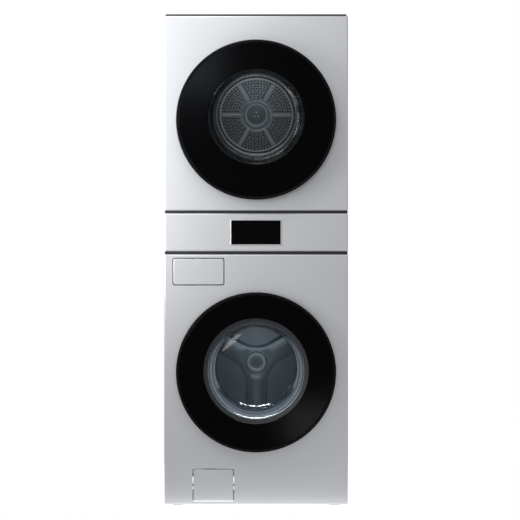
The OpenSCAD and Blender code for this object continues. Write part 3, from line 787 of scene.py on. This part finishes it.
def doors():
    door_pane("washer_door_pane", WASH_Z, WASH_BOWL_Z, WASH_WINDOW, "washer_door", "washer_door_glass")
    door_pane("dryer_door_pane", DRY_DOOR_Z, DRY_PORT_Z, DRY_WINDOW, "dryer_door", "dryer_door_glass")
    seat = GLASS_BACK + 7 * MM      # back of the flange that holds each window
    rise = 5 * MM
    outer = [(206, GLASS_BACK, 0), (184, GLASS_BACK, 0), (178, GLASS_BACK + 3 * MM, 0),
             (175.5, -0.392, 0.0003), (173.5, -0.372, 0.001), (166, -0.318, 0.003),
             (158.5, -0.262, 0.0045), (157, -0.2515, rise),
             (155.6, -0.2475, rise), (152.6, -0.2444, rise), (149, -0.2428, rise), (144, -0.2418, rise),
             (100, -0.2405, rise), (50, -0.2396, rise), (0, -0.2394, rise)]
    inner = [(0, BOWL_END, rise), (50, -0.2362, rise), (100, -0.237, rise), (144, -0.238, rise),
             (151, -0.2392, rise), (156.5, -0.2424, rise), (160, -0.2468, rise), (161.6, -0.2515, rise),
             (163, -0.262, 0.0045), (170.5, -0.318, 0.003), (178.2, -0.372, 0.001), (180.5, -0.392, 0.0003),
             (184, seat, 0), (206, seat, 0)]
    profile = [(r * MM, y, up) for r, y, up in outer + inner]
    bowl = lathe("washer_door_glass_bowl", profile, WASH_BOWL_Z, "bowl_glass", 180, 50)
    # the wall and flange past the clear end take the painted reflection
    add_look(bowl, "bowl_wall_painted_reflection", lambda part: off_axis(part, WASH_BOWL_Z) > BOWL_FACE)
    place(bowl, "washer_door", "clear_glass", "washer_door_bowl")
    profile = [(190, GLASS_BACK), (176, GLASS_BACK), (174, GLASS_BACK + 3 * MM), (170.5, -0.377),
               (168, -0.3695), (163.5, -0.3625), (157, -0.3578), (150, -0.357), (0, -0.3565), (0, -0.353),
               (158, -0.3532), (164.5, -0.3565), (170, -0.3635), (173.5, -0.373), (178, seat), (190, seat)]
    profile = [(r * MM, y) for r, y in profile]
    dish = lathe("dryer_door_glass_dish", profile, DRY_PORT_Z, "window_glass", 180, 50)
    place(dish, "dryer_door", "black_glass", "dryer_door_glass")
    door_screws("washer_door_screws", WASH_Z, "washer_door")
    door_screws("dryer_door_screws", DRY_DOOR_Z, "dryer_door")


doors()


# ---- control panel display ----
def display():
    low, high, mid, size = span("display_bezel")
    bezel = plate_piece("display_frame", box_outline("display_bezel", 3 * MM),
                        [box_outline("display_glass", 2 * MM)], low.y, size.y, 0.8 * MM, "bright_metal")
    place(bezel, "cabinet", "bezel_chrome", "display_bezel")
    low, high, mid, size = span("display_glass")
    window = plate_piece("display_window", box_outline("display_glass", 2 * MM, -0.2 * MM), [], low.y, size.y,
                         0.6 * MM, "display_glass")
    place(window, "cabinet", "black_glass", "display_glass")


def small_fronts():
    for name, body, radius, depth in (("drawer_front", "drawer", 7, 8),
                                      ("filter_cover", "filter_flap", 6, 4)):
        cover = sheet_piece(name + "_skin", box_outline(name, radius * MM), [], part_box(name)[0].y,
                            depth * MM, 2.6 * MM, 1.4 * MM, "panel_steel")
        place(cover, body, "panel_steel", name)
    low, high, mid, size = span("filter_cover")
    axis_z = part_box("hinge_pins")[0].z + 1.2 * MM
    radius = 2.6 * MM
    bm = bmesh.new()
    for side in (-1, 1):
        x = mid.x + side * 50 * MM
        arm = [(low.y + 2 * MM, axis_z + radius), (high.y - radius, axis_z + radius)]
        arm += [(high.y - radius + radius * sin(a), axis_z + radius * cos(a))
                for a in (pi * k / 12 for k in range(1, 12))]
        arm += [(high.y - radius, axis_z - radius), (low.y + 2 * MM, axis_z - radius)]
        ends = [[bm.verts.new((x + end * 5 * MM, y, z)) for y, z in arm] for end in (-1, 1)]
        loft(bm, ends)
    place(to_object("filter_cover_knuckles", bm, "dark_plastic", crease=40), "filter_flap", "dark_plastic")


def drawer_tray():
    """The tray: three rounded pockets for powder, liquid and softener."""
    low, high, mid, size = span("detergent_drawer")
    bm = bmesh.new()
    levels = from_level(-low.z, [(4, 0), (1.2, -1.2), (0, -4)])
    levels += from_level(-high.z, [(0, 0.8), (0.3, 0.2), (0.9, 0)])
    outer = stack(bm, rounded_rectangle((mid.x, mid.y), (size.x, size.y), 10 * MM), levels)
    levels = from_level(-high.z, [(-0.9, 0), (-0.2, 0.3), (0, 1)])
    levels += from_level(-low.z, [(1.5, -9), (3.5, -4.5), (8, -3)])
    rims = []
    for x0, x1, y0, y1 in ((3, 115, 4, 246), (118, 175, 4, 132), (118, 175, 135, 246)):
        centre = (low.x + (x0 + x1) / 2 * MM, low.y + (y0 + y1) / 2 * MM)
        pocket = stack(bm, rounded_rectangle(centre, ((x1 - x0) * MM, (y1 - y0) * MM), 12 * MM), levels)
        rims.append(pocket[0])
        fill(bm, [pocket[-1]])
    fill(bm, [outer[0]])
    fill(bm, [outer[-1]] + rims)
    tray = to_object("drawer_tray", bm, "white_plastic", TO_TOP)
    place(tray, "drawer", "white_plastic", "detergent_drawer")


display()
small_fronts()
drawer_tray()


# ---- washing side, seen through the door ----
STAR_ARM = 35 * MM              # half width of each arm of the pressed star
STAR_FILLET = 58 * MM           # rounding between two arms
STAR_DEPTH = 13 * MM
DRUM_WALL = 1.5 * MM


def star_relief(radius, angle):
    """How far the drum's back stands towards the door at this point."""
    sector = (angle - radians(90)) % radians(120)
    sector = min(sector, radians(120) - sector)
    x, z = radius * cos(sector), radius * sin(sector)
    lean = radians(60)
    near = x * sin(lean) - z * cos(lean)
    far = x * sin(lean) + z * cos(lean)
    reach = STAR_ARM + STAR_FILLET
    inside = STAR_FILLET - hypot(max(reach - near, 0), max(reach - far, 0))
    dip = smooth_step(-2 * MM, 12 * MM, inside) * (1 - smooth_step(0.236, 0.258, radius))
    crown = 3.5 * MM * (1 - min(abs(near) / (1.15 * STAR_ARM), 1) ** 2) * smooth_step(0.045, 0.08, radius)
    groove = 1.2 * MM * exp(-((inside + 6 * MM) / (2.2 * MM)) ** 2)
    return STAR_DEPTH * (1 - dip) + crown - groove


def star_hub(radius):
    """The hub's extra height: a rounded ring, then a bowl down to the bolt cap."""
    ring = 7 * MM * (1 - smooth_step(0.037, 0.046, radius))
    bowl = 5.5 * MM * (1 - smooth_step(0.025, 0.036, radius))
    return ring - bowl


def wash_drum():
    face = WASH_BACK - 3 * MM
    wall = WASH_RADIUS - DRUM_WALL
    radii = [0.0] + [r * MM for r in (12, 20, 24, 26, 28, 30, 32, 34, 36, 38, 40, 42, 44, 46, 50)]
    radii += [(50 + 4 * k) * MM for k in range(1, 53)] + [0.262, 0.27, 0.276]

    def back_at(radius):
        return lambda angle: face - star_relief(radius, angle) - star_hub(radius)

    profile = [(r, back_at(r)) for r in radii]
    profile += [(wall - 3 * MM, face - 0.5 * MM - STAR_DEPTH), (wall, face - 4 * MM - STAR_DEPTH)]
    profile += [(wall, y) for y in (0.1, -0.05, -0.2)]
    mouth = [(wall, 12), (wall - 3 * MM, 4), (wall - 9 * MM, 1.5), (0.215, 1.5), (0.206, 3), (0.2035, 8),
             (0.202, 8), (0.2045, 2), (0.215, 0), (wall - 8 * MM, 0), (wall - 1 * MM, 3), (WASH_RADIUS, 12)]
    profile += [(r, WASH_MOUTH + y * MM) for r, y in mouth]
    profile += [(WASH_RADIUS, WASH_BACK - 3 * MM), (WASH_RADIUS - 3 * MM, WASH_BACK), (0, WASH_BACK)]
    drum = lathe("wash_drum_shell", profile, DRUM_Z, "drum_steel", 240, 50)
    # the drum's back takes the darker copy of the drum steel: painted shade
    add_look(drum, "pressed_steel_painted_shade", lambda part: part.center.y > 0.15 and part.normal.y < -0.2)
    place(drum, "wash_drum", "drum_stainless", "wash_drum")
    dome = [(0, 202.5), (23.5, 202.5), (23.5, 196.5), (22, 194.8), (12, 193.8), (0, 193.6)]
    cap = lathe("wash_drum_cap", mm(dome), DRUM_Z, "dark_plastic", 64, 40)
    place(cap, "wash_drum", "drum_stainless")
    # the bead round the hub is near-white: painted highlight
    bead = [(27, 190), (28, 188.2), (31, 186.6), (34, 186.2), (37, 187.2), (39, 189.4), (40, 192), (40, 194),
            (27, 194)]
    rim = lathe("wash_drum_cap_rim", mm(bead), DRUM_Z, "steel_painted_highlight", 96, 60)
    place(rim, "wash_drum", "drum_stainless")


def wall_pattern(radius, y_first, y_last, pitch, skip):
    """Staggered places on a drum's wall, each turned to face the axis; skip(angle) leaves gaps."""
    places, turns = [], []
    around = int(2 * pi * radius / pitch)
    rows = int((y_last - y_first) / (0.87 * pitch))
    for row in range(rows):
        for step in range(around):
            angle = 2 * pi * (step + 0.5 * (row % 2)) / around
            if skip(angle):
                continue
            inward = Vector((-cos(angle), 0, -sin(angle)))
            places.append((-radius * inward.x, y_first + 0.87 * pitch * row, -radius * inward.z))
            turns.append(tuple(Vector((0, -1, 0)).rotation_difference(inward).to_euler()))
    return places, turns


def lifter_sector(half):
    def skip(angle):
        offset = (degrees(angle) - 90) % 120
        return min(offset, 120 - offset) < half
    return skip


def lifter(bm, axis_z, wall, height, foot, top, y_first, y_last, angle):
    """A rounded rib along a drum's wall, with sloping ends."""
    ramp = 0.09
    stations = [0, 0.12, 0.3, 0.5, 0.7, 0.88, 1]
    along = [(y_first + ramp * s, s) for s in stations]
    along += [(y_last - 0.6 * ramp * s, s) for s in reversed(stations)]
    out = Vector((cos(angle), 0, sin(angle)))
    side = Vector((-sin(angle), 0, cos(angle)))
    spread = [k / 9 for k in range(-9, 10)]
    loops = []
    for y, share in along:
        tall = height * smooth_step(-0.05, 1.0, share)
        ridge = [(foot * t, sqrt(wall ** 2 - (foot * t) ** 2) + 0.5 * MM
                  - tall * (1 - smooth_step(top / foot, 1, abs(t))) - 0.4 * MM * (1 - abs(t)))
                 for t in spread]
        under = [(foot * t, sqrt(wall ** 2 - (foot * t) ** 2) + 0.9 * MM) for t in reversed(spread)]
        loops.append([bm.verts.new(Vector((0, y, axis_z)) + out * r + side * u) for u, r in ridge + under])
    loft(bm, loops)


def lifters(name, axis_z, wall, height, foot, top, y_first, y_last, look, body, slot_name, *nodes):
    bm = bmesh.new()
    for turn in (90, 210, 330):
        lifter(bm, axis_z, wall, height, foot, top, y_first, y_last, radians(turn))
    place(to_object(name, bm, look, crease=60), body, slot_name, *nodes)


def wash_side():
    wash_drum()
    wall = WASH_RADIUS - DRUM_WALL
    lifters("wash_lifters", DRUM_Z, wall, 61 * MM, 32 * MM, 14 * MM, -0.250, 0.175, "lifter_grey",
            "wash_drum", "lifter_plastic", "wash_drum_lifters")
    places, turns = wall_pattern(wall - 0.1 * MM, -0.262, 0.18, 15.5 * MM, lifter_sector(8.5))
    # dark discs on the drum's wall stand in for its holes: painted shade
    holes = grow("wash_drum_perforations", ON_POINTS, disc(1.9 * MM, 0.25 * MM, 8), "hole_painted_shade",
                 [(x, y, z + DRUM_Z) for x, y, z in places], turns, Size=1.0)
    place(holes, "wash_drum", "drum_stainless")
    boot = [(216, -368.6), (216, -364.5), (211, -363), (199, -362.5), (194.5, -359.5), (193.5, -354),
            (195, -349.5), (201, -346), (206, -341), (206, -322), (200.6, -322), (200.6, -336),
            (197, -339.5), (190.5, -343), (188, -349), (187.2, -356), (187, -363), (188.5, -367),
            (192, -368.6), (203, -368.6), (204.5, -367.6), (210.5, -367.6), (212, -368.6)]
    bellows = lathe("door_boot_bellows", mm(boot), WASH_Z, "boot_rubber", 180, 60)
    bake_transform(bellows)
    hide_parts("door_boot")
    clamp = [(207.5 + 1.5 * cos(a), -368.4 + 1.3 * sin(a))
             for a in (k * pi / 4 for k in range(8))]
    clamp = lathe("door_boot_clamp", mm(clamp), WASH_Z, "zinc_parts", 144, 60)
    place(clamp, "cabinet", "steel_parts")


wash_side()


# ---- drying side, seen through the door ----
RIB_REACH = (62 * MM, 143 * MM)
VENT_HOLE = 4.3 * MM            # radius of the holes in the drum's back
VENT_PITCH = 11.6 * MM


def dryer_back():
    face = 221 * MM
    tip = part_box("dryer_drum_back")[0].y
    rings = [(0, 218), (40, 218), (46, 217.6), (52, 215.6), (53.5, 215.6), (55, 216.4), (57, 219.4),
             (66, 220), (69, 219), (71, 219), (73, 220.6), (76, 221), (146.5, 221), (148, 219.4),
             (150, 218.4), (152.5, 218.4), (154.5, 219.6), (155.5, 222.4), (159, 222.4), (160.5, 220),
             (163, 216.2), (166, 215), (169.5, 215.4), (172.5, 218), (174, 221.6), (180, 222),
             (182, 220.4), (184, 220.4), (186, 222), (193, 222), (195, 220.6), (198, 220.6), (200, 222),
             (284, 222), (287, 221.4), (289.5, 220.6), (289.5, 225), (20, 225), (14, 228)]
    shaft = [(12, 231), (12, 269), (11, 270), (0, 270)]
    panel = lathe("dryer_back_panel", mm(rings + shaft), DRY_DRUM_Z, "vent_steel", 216, 50)
    # bands by radius over one steel back: near-white on a bead (painted highlight), near-black in the groove
    # (painted shade), dark on the outer band (painted shade)
    bands = [(0.147, "vent_steel"), (0.156, "steel_painted_highlight"), (0.16, "hole_painted_shade"), (0.1725, "eyelet_steel"),
             (1, "outer_steel_painted_shade")]
    for reach, look in bands[1:]:
        panel.data.materials.append(LOOK[look])
    for part in panel.data.polygons:
        radius = off_axis(part, DRY_DRUM_Z)
        part.material_index = next(i for i, (reach, look) in enumerate(bands) if radius < reach)
    place(panel, "dryer_drum", "drum_stainless", "dryer_drum_back")

    bm = bmesh.new()
    section = [(-5.4, 0), (-4.4, 3.6), (-3, 5.2), (0, 5.9), (3, 5.2), (4.4, 3.6), (5.4, 0), (5.4, -0.4),
               (-5.4, -0.4)]
    loops = []
    for share in (0, 0.02, 0.05, 0.1, 0.9, 0.95, 0.98, 1):
        reach = RIB_REACH[0] + share * (RIB_REACH[1] - RIB_REACH[0])
        tall = smooth_step(-0.02, 0.08, min(share, 1 - share))
        loops.append([bm.verts.new((reach, -h * MM * tall, u * MM)) for u, h in section])
    loft(bm, loops)
    rib = to_object("rib_shape", bm, "bright_metal", crease=60)
    # the ribs are near-white: painted highlight
    ribs = grow("dryer_back_ribs", RING, rib, "steel_painted_highlight", Count=6, First=0.0, Axis=(0, face, DRY_DRUM_Z))
    place(ribs, "dryer_drum", "drum_stainless")

    places = []
    for row in range(7):
        radius = (79 + 10.6 * row) * MM
        for sector in range(6):
            middle_angle = radians(60 * sector + 30)
            half = radians(30) - 15 * MM / radius
            count = int(2 * half * radius / VENT_PITCH) + (1 if row % 2 else 0)
            count += (count + row) % 2
            pitch = 2 * half / (count - 1)
            for k in range(count):
                angle = middle_angle - half + pitch * k
                places.append((radius * cos(angle), face - 0.05 * MM,
                               DRY_DRUM_Z + radius * sin(angle)))
    # dark discs stand in for the vent holes: painted shade
    holes = grow("dryer_back_holes", ON_POINTS, disc(VENT_HOLE, 0.15 * MM, 12), "hole_painted_shade", places, Size=1.0)
    place(holes, "dryer_drum", "drum_stainless")
    lip = eyelet(VENT_HOLE, 0.6 * MM, 0.5 * MM, 12)
    lips = grow("dryer_back_eyelets", ON_POINTS, lip, "eyelet_steel", places, Size=1.0)
    place(lips, "dryer_drum", "drum_stainless")

    # the cap's rim is near-white: painted highlight
    ring = [(40, 217), (46.5, 217), (47.5, 215.4), (46.6, 214.5), (44, tip / MM), (42, 214.5),
            (41.2, 215.6), (40, 216)]
    rim = lathe("dryer_cap_rim", mm(ring), DRY_DRUM_Z, "steel_painted_highlight", 96, 60)
    place(rim, "dryer_drum", "drum_stainless")
    cap = [(0, 217.5), (40.6, 217.5), (40.6, 216), (39.5, 215.4), (0, 215)]
    cap = lathe("dryer_cap", mm(cap), DRY_DRUM_Z, "cap_teal", 96, 60)
    place(cap, "dryer_drum", "drum_stainless")
    # the cap's studs are near-white: painted highlight
    bm = bmesh.new()
    for turn in (90, 218, 322):
        x, z = 9.5 * MM * cos(radians(turn)), 9.5 * MM * sin(radians(turn))
        stud = [(0, 215.2), (4.4, 215.2), (4.2, 214.7), (2.2, 214.2), (0, 214.1)]
        turned(bm, mm(stud), x, DRY_DRUM_Z + z, 20)
    place(to_object("dryer_cap_studs", bm, "steel_painted_highlight", crease=60), "dryer_drum", "drum_stainless")


def dry_side():
    dryer_back()
    wall = DRY_RADIUS - DRUM_WALL
    bead = [(wall, 0.2215), (wall, 0.13), (wall + 1.2 * MM, 0.126), (wall + 1.2 * MM, 0.114),
            (wall, 0.11), (wall, -0.205), (wall - 2.5 * MM, -0.21), (wall - 2.5 * MM, -0.218),
            (wall, -0.223), (wall, -0.308), (wall - 2.5 * MM, -0.3125), (wall - 2 * MM, -0.314),
            (DRY_RADIUS, -0.311), (DRY_RADIUS, 0.2215)]
    drum = lathe("dryer_drum_shell", bead, DRY_DRUM_Z, "drum_steel", 216, 50)
    place(drum, "dryer_drum", "drum_stainless", "dryer_drum")
    lifters("dryer_lifters", DRY_DRUM_Z, wall, 55 * MM, 30 * MM, 13 * MM, -0.270, 0.190, "drum_steel",
            "dryer_drum", "drum_stainless")


dry_side()


# ---- rear of the cabinet ----
def skin(bm, rim, fields, holes, y):
    """One face of an embossed sheet. Gives the loops of its holes."""
    edges, cuts = [rim], []
    for outline, sunk, inner in fields:
        slope = 2 * sunk
        steps = stack(bm, outline, [(0, y), (0.3 * slope, y + 0.12 * sunk), (0.7 * slope, y + 0.88 * sunk),
                                    (slope, y + sunk)])
        inner_cuts = [stack(bm, hole, [(0, y + sunk)])[0] for hole in inner]
        fill(bm, [steps[-1]] + inner_cuts)
        edges.append(steps[0])
        cuts += inner_cuts
    outer_cuts = [stack(bm, hole, [(0, y)])[0] for hole in holes]
    fill(bm, edges + outer_cuts)
    return cuts + outer_cuts


def rear_sheet(node_name, fields, holes):
    low, high, mid, size = span(node_name)
    wall, front = size.y, -high.y
    outline = rounded_rectangle((0, mid.z), (size.x, size.z), 3 * MM)
    bm = bmesh.new()
    rim = stack(bm, outline, from_level(front, [(0.4, 0), (0, 0.4)]) + [(0, front + wall)])
    near = skin(bm, rim[0], fields, holes, front)
    far = skin(bm, rim[-1], fields, holes, front + wall)
    for a, b in zip(near, far):
        bridge(bm, a, b)
    sheet = to_object(node_name + "_skin", bm, "cabinet_steel", TO_REAR)
    place(sheet, "cabinet", "cabinet_steel", node_name)
    for side in (-1, 1):
        count = int(size.z / 0.16)
        pitch = (size.z - 40 * MM) / (count - 1)
        screws = grow(node_name + ("_screws_left" if side < 0 else "_screws_right"), ROW, screw_head(TO_REAR),
                      "zinc_parts", Count=count, Start=(side * 341 * MM, high.y, low.z + 20 * MM),
                      Step=(0, 0, pitch))
        place(screws, "cabinet", "steel_parts")


def rear_panels():
    bolt_holes = [circle((x, z), 10 * MM, 32) for x in (-0.2, 0.2) for z in (0.364, 0.664)]
    fittings = [circle((0.27, 0.905), 17 * MM, 40), circle((0.21, 0.905), 17 * MM, 40),
                circle((-0.25, 0.88), 14 * MM, 40), circle((-0.3, 0.905), 9 * MM, 32)]
    ribs = [(rounded_rectangle((0, z), (0.56, 0.03), 14 * MM), 2 * MM, []) for z in (0.1, 0.16, 0.835)]
    field = (rounded_rectangle((0, 0.514), (0.56, 0.56), 0.09), 2 * MM, bolt_holes)
    rear_sheet("washer_rear_panel", [field] + ribs, fittings)
    slots = [rounded_rectangle((i * 34 * MM, z + 30 * MM), (18 * MM, 60 * MM), 8.9 * MM, 5)
             for i in range(-7, 8) for z in (1.01, 1.1)]
    ring = (circle((0, DRY_DRUM_Z), 0.26), 2 * MM, [])
    rib = (rounded_rectangle((0, 1.215), (0.56, 0.03), 14 * MM), 2 * MM, [])
    rear_sheet("dryer_rear_panel", [ring, rib], slots)


rear_panels()


# ---- suspension, feet and drive ----
def springs():
    low, high, mid, size = span("tub_springs")
    reach = 14 * MM
    gauge = 1.7 * MM
    bm = bmesh.new()
    for side in (-1, 1):
        x, y = side * (high.x - reach), mid.y
        coil = reach - gauge - 0.2 * MM
        path = []
        turns, steps = 26, 20
        first, last = low.z + 16 * MM, high.z - 16 * MM
        for k in range(turns * steps + 1):
            share = k / (turns * steps)
            angle = 2 * pi * turns * share
            path.append(Vector((x + coil * cos(angle), y + coil * sin(angle),
                                first + share * (last - first))))
        hook = [Vector((x + coil * cos(t), y, t * 4 * MM)) for t in (0.4, 0.8, 1.2, 1.57)]
        below = [Vector((p.x, p.y, first - p.z)) for p in hook] + [Vector((x, y, low.z + gauge))]
        above = [Vector((p.x, p.y, last + p.z)) for p in hook] + [Vector((x, y, high.z - gauge))]
        tube(bm, list(reversed(below)) + path + above, gauge, 8)
    coils = to_object("tub_spring_coils", bm, "zinc_parts", crease=60)
    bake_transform(coils)
    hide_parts("tub_springs")


def feet():
    lay_up = Matrix.Rotation(radians(90), 4, "X")
    for name in ("foot_front_left", "foot_front_right", "foot_rear_left", "foot_rear_right"):
        mid = middle(name)
        bm = bmesh.new()
        pad = [(0, 0), (23.5, 0), (24.6, 0.6), (25, 2), (25, 4.5), (24, 6), (21, 6.6), (20, 8), (19, 9.6),
               (17, 10), (0, 10)]
        turned(bm, mm(pad), 0, 0, 64)
        nut = [(0, 9.5), (10.4, 9.5), (11, 10.2), (11, 15.3), (10.2, 16), (0, 16)]
        turned(bm, mm(nut), 0, 0, 6)
        thread = [(0, 15.5), (5.4, 15.5)]
        for k in range(28):
            thread += [(r, h + 1.5 * k) for r, h in ((5.4, 16.2), (5.95, 16.6), (5.95, 17), (5.4, 17.4))]
        thread += [(5.4, 59.4), (4.8, 60), (0, 60)]
        turned(bm, mm(thread), 0, 0, 24)
        foot = to_object(name + "_turned", bm, "zinc_parts", Matrix.Translation((mid.x, mid.y, 0)) @ lay_up)
        place(foot, name, "steel_parts", name)


def belt():
    """A ribbed belt round the drum and the motor pulley."""
    low, high, mid, size = span("drum_belt")
    pulley = middle("motor_pulley")
    centres = [(Vector((0, DRY_DRUM_Z)), DRY_RADIUS),
               (Vector((pulley.x, pulley.z)), half_width("motor_pulley"))]
    apart = centres[1][0] - centres[0][0]
    heading = atan2(apart.y, apart.x)
    lean = acos((centres[0][1] - centres[1][1]) / apart.length)
    path = [(centres[0], heading + lean + (2 * pi - 2 * lean) * k / 160) for k in range(161)]
    path += [(centres[1], heading - lean + 2 * lean * k / 24) for k in range(25)]
    ribs = 5
    section = [(0, 3.3), (1, 3.3), (1, 1.9)]
    for k in reversed(range(ribs)):
        section += [((k + t) / ribs, h) for t, h in ((0.86, 1.9), (0.62, 0.7), (0.38, 0.7), (0.14, 1.9))]
    section += [(0, 1.9)]
    bm = bmesh.new()
    loops = [[bm.verts.new((c.x + (r + t * MM) * cos(a), low.y + share * size.y,
                            c.y + (r + t * MM) * sin(a)))
              for (c, r), a in path] for share, t in section]
    loft(bm, loops + loops[:1], False)
    place(to_object("drum_belt_ribbed", bm, "boot_rubber", crease=50), "cabinet", "boot_rubber", "drum_belt")


def coils():
    """The two finned coils of the heat pump."""
    low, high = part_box("heat_exchangers")
    for name, y0 in (("condenser", low.y), ("evaporator", high.y - 110 * MM)):
        fin = bar_piece("fin_shape", (-0.2 * MM, 0, 0), (0.2 * MM, 110 * MM, high.z - low.z), 0.05 * MM,
                        "coil_fins")
        fins = grow(name + "_fins", ROW, fin, "coil_fins", Count=72, Start=(low.x + 16 * MM, y0, low.z),
                    Step=(3 * MM, 0, 0))
        place(fins, "cabinet", "coil_aluminium", "heat_exchangers")
        bm = bmesh.new()
        for row in (30, 80):
            for rise in (22, 62, 102, 142):
                y, z = y0 + row * MM, low.z + rise * MM
                tube(bm, [Vector((low.x + 6 * MM, y, z)), Vector((high.x - 6 * MM, y, z))], 5 * MM, 16)
        place(to_object(name + "_tubes", bm, "coil_fins", crease=60), "cabinet", "coil_aluminium")


springs()
feet()
belt()
coils()


# ---- stage ----
CAMERA_DISTANCE = 6.0           # from the front panels
FRAME_WIDTH = 1.979             # what the view takes in at the front panels
CAMERA_HEIGHT = 0.9389
CAMERA_SIDE = 0.015
AMBIENT = 0.5
LAMPS = [                       # name, place, aim, size, watts, colour
    ("over", (0, -3.4, 3.4), (0, FRONT_Y, 0.9), (3, 1), 10, (1, 1, 1)),
    ("key_top", (-0.4, -1.0, 2.45), (-0.2, FRONT_Y, 1.6), (0.8, 0.3), 6.2, (1, 1, 1)),
    ("key_high", (-0.8, -0.8, 1.7), (-0.2, FRONT_Y, 1.5), (0.3, 0.5), 5.2, (1, 1, 1)),
    ("key_low", (-0.8, -0.8, 1.1), (-0.2, FRONT_Y, 1.1), (0.3, 0.5), 5.8, (1, 1, 1)),
    ("sheen_high", (-0.58, -6.4, 2.44), (-0.2, FRONT_Y, 1.66), (0.55, 0.45), 7.5, (0.85, 0.93, 1)),
    ("sheen_low", (0.3, -3.0, 0.06), (0.2, FRONT_Y, 0.3), (0.3, 0.2), 1.2, (1, 1, 1)),
    ("dryer_lamp", (0, DRY_MOUTH + 0.03, DRY_DRUM_Z + 0.19), (0, DRY_BACK, DRY_DRUM_Z), (0.16, 0.05), 0.5,
     (0.85, 0.95, 1)),
    ("bowl_lamp", (0, -0.37, WASH_BOWL_Z + 0.12), (0, -0.33, WASH_BOWL_Z - 0.17), (0.12, 0.04), 4.2,
     (0.92, 0.96, 1)),
    ("washer_lamp", (0, BOWL_END + 0.03, DRUM_Z + 0.2), (0, WASH_BACK, DRUM_Z), (0.22, 0.1), 0.33,
     (0.8, 0.93, 1)),
    ("arm_lamp", (0, BOWL_END + 0.03, DRUM_Z - 0.19), (0, WASH_BACK, DRUM_Z - 0.16), (0.03, 0.1), 0.055,
     (0.85, 0.95, 1)),
]


def add_area(name, at, aim, size, power, colour):
    lamp = bpy.data.lights.new(name, "AREA")
    lamp.shape = "RECTANGLE"
    lamp.size, lamp.size_y = size
    lamp.energy = power
    lamp.color = colour
    obj = bpy.data.objects.new(name, lamp)
    obj.location = at
    obj.rotation_euler = (Vector(aim) - Vector(at)).to_track_quat("-Z", "Y").to_euler()
    obj.visible_camera = False
    scene.collection.objects.link(obj)


def studio():
    floor_mesh = bpy.data.meshes.new("floor")
    side, near, far = 0.98, FRONT_Y - 0.1, REAR_Y + 0.5
    corners = [(-side, near, 0), (side, near, 0), (side, far, 0), (-side, far, 0)]
    floor_mesh.from_pydata(corners, [], [(0, 1, 2, 3)])
    floor = bpy.data.objects.new("floor", floor_mesh)
    scene.collection.objects.link(floor)
    floor_look, tree, shader = blank("floor_pale", Roughness=0.9)
    shader.inputs["Base Color"].default_value = (0.8, 0.8, 0.8, 1)
    shader.inputs["Emission Color"].default_value = (1, 1, 1, 1)
    shader.inputs["Emission Strength"].default_value = 0.85
    floor_mesh.materials.append(floor_look)

    world = bpy.data.worlds.new("studio")
    world.use_nodes = True
    scene.world = world
    tree = world.node_tree
    soft = tree.nodes["Background"]
    soft.inputs["Color"].default_value = (0.985, 0.985, 1.0, 1)
    soft.inputs["Strength"].default_value = AMBIENT
    white = node(tree, "Background", Color=(1, 1, 1, 1), Strength=1.0)
    ray = node(tree, "LightPath")
    pick = node(tree, "MixShader")
    wire(tree, (ray, "Is Camera Ray", pick, 0), (soft, 0, pick, 1), (white, 0, pick, 2))
    link(tree, pick.outputs[0], tree.nodes["World Output"].inputs["Surface"])

    for lamp in LAMPS:
        add_area(*lamp)

    camera = bpy.data.cameras.new("camera")
    camera.sensor_width = 36
    camera.lens = 36 * CAMERA_DISTANCE / FRAME_WIDTH
    camera.clip_end = 100
    view = bpy.data.objects.new("camera", camera)
    view.location = (CAMERA_SIDE, FRONT_Y - CAMERA_DISTANCE, CAMERA_HEIGHT)
    view.rotation_euler = (radians(90), 0, 0)
    scene.collection.objects.link(view)
    scene.camera = view
    scene.view_settings.view_transform = "Standard"


studio()
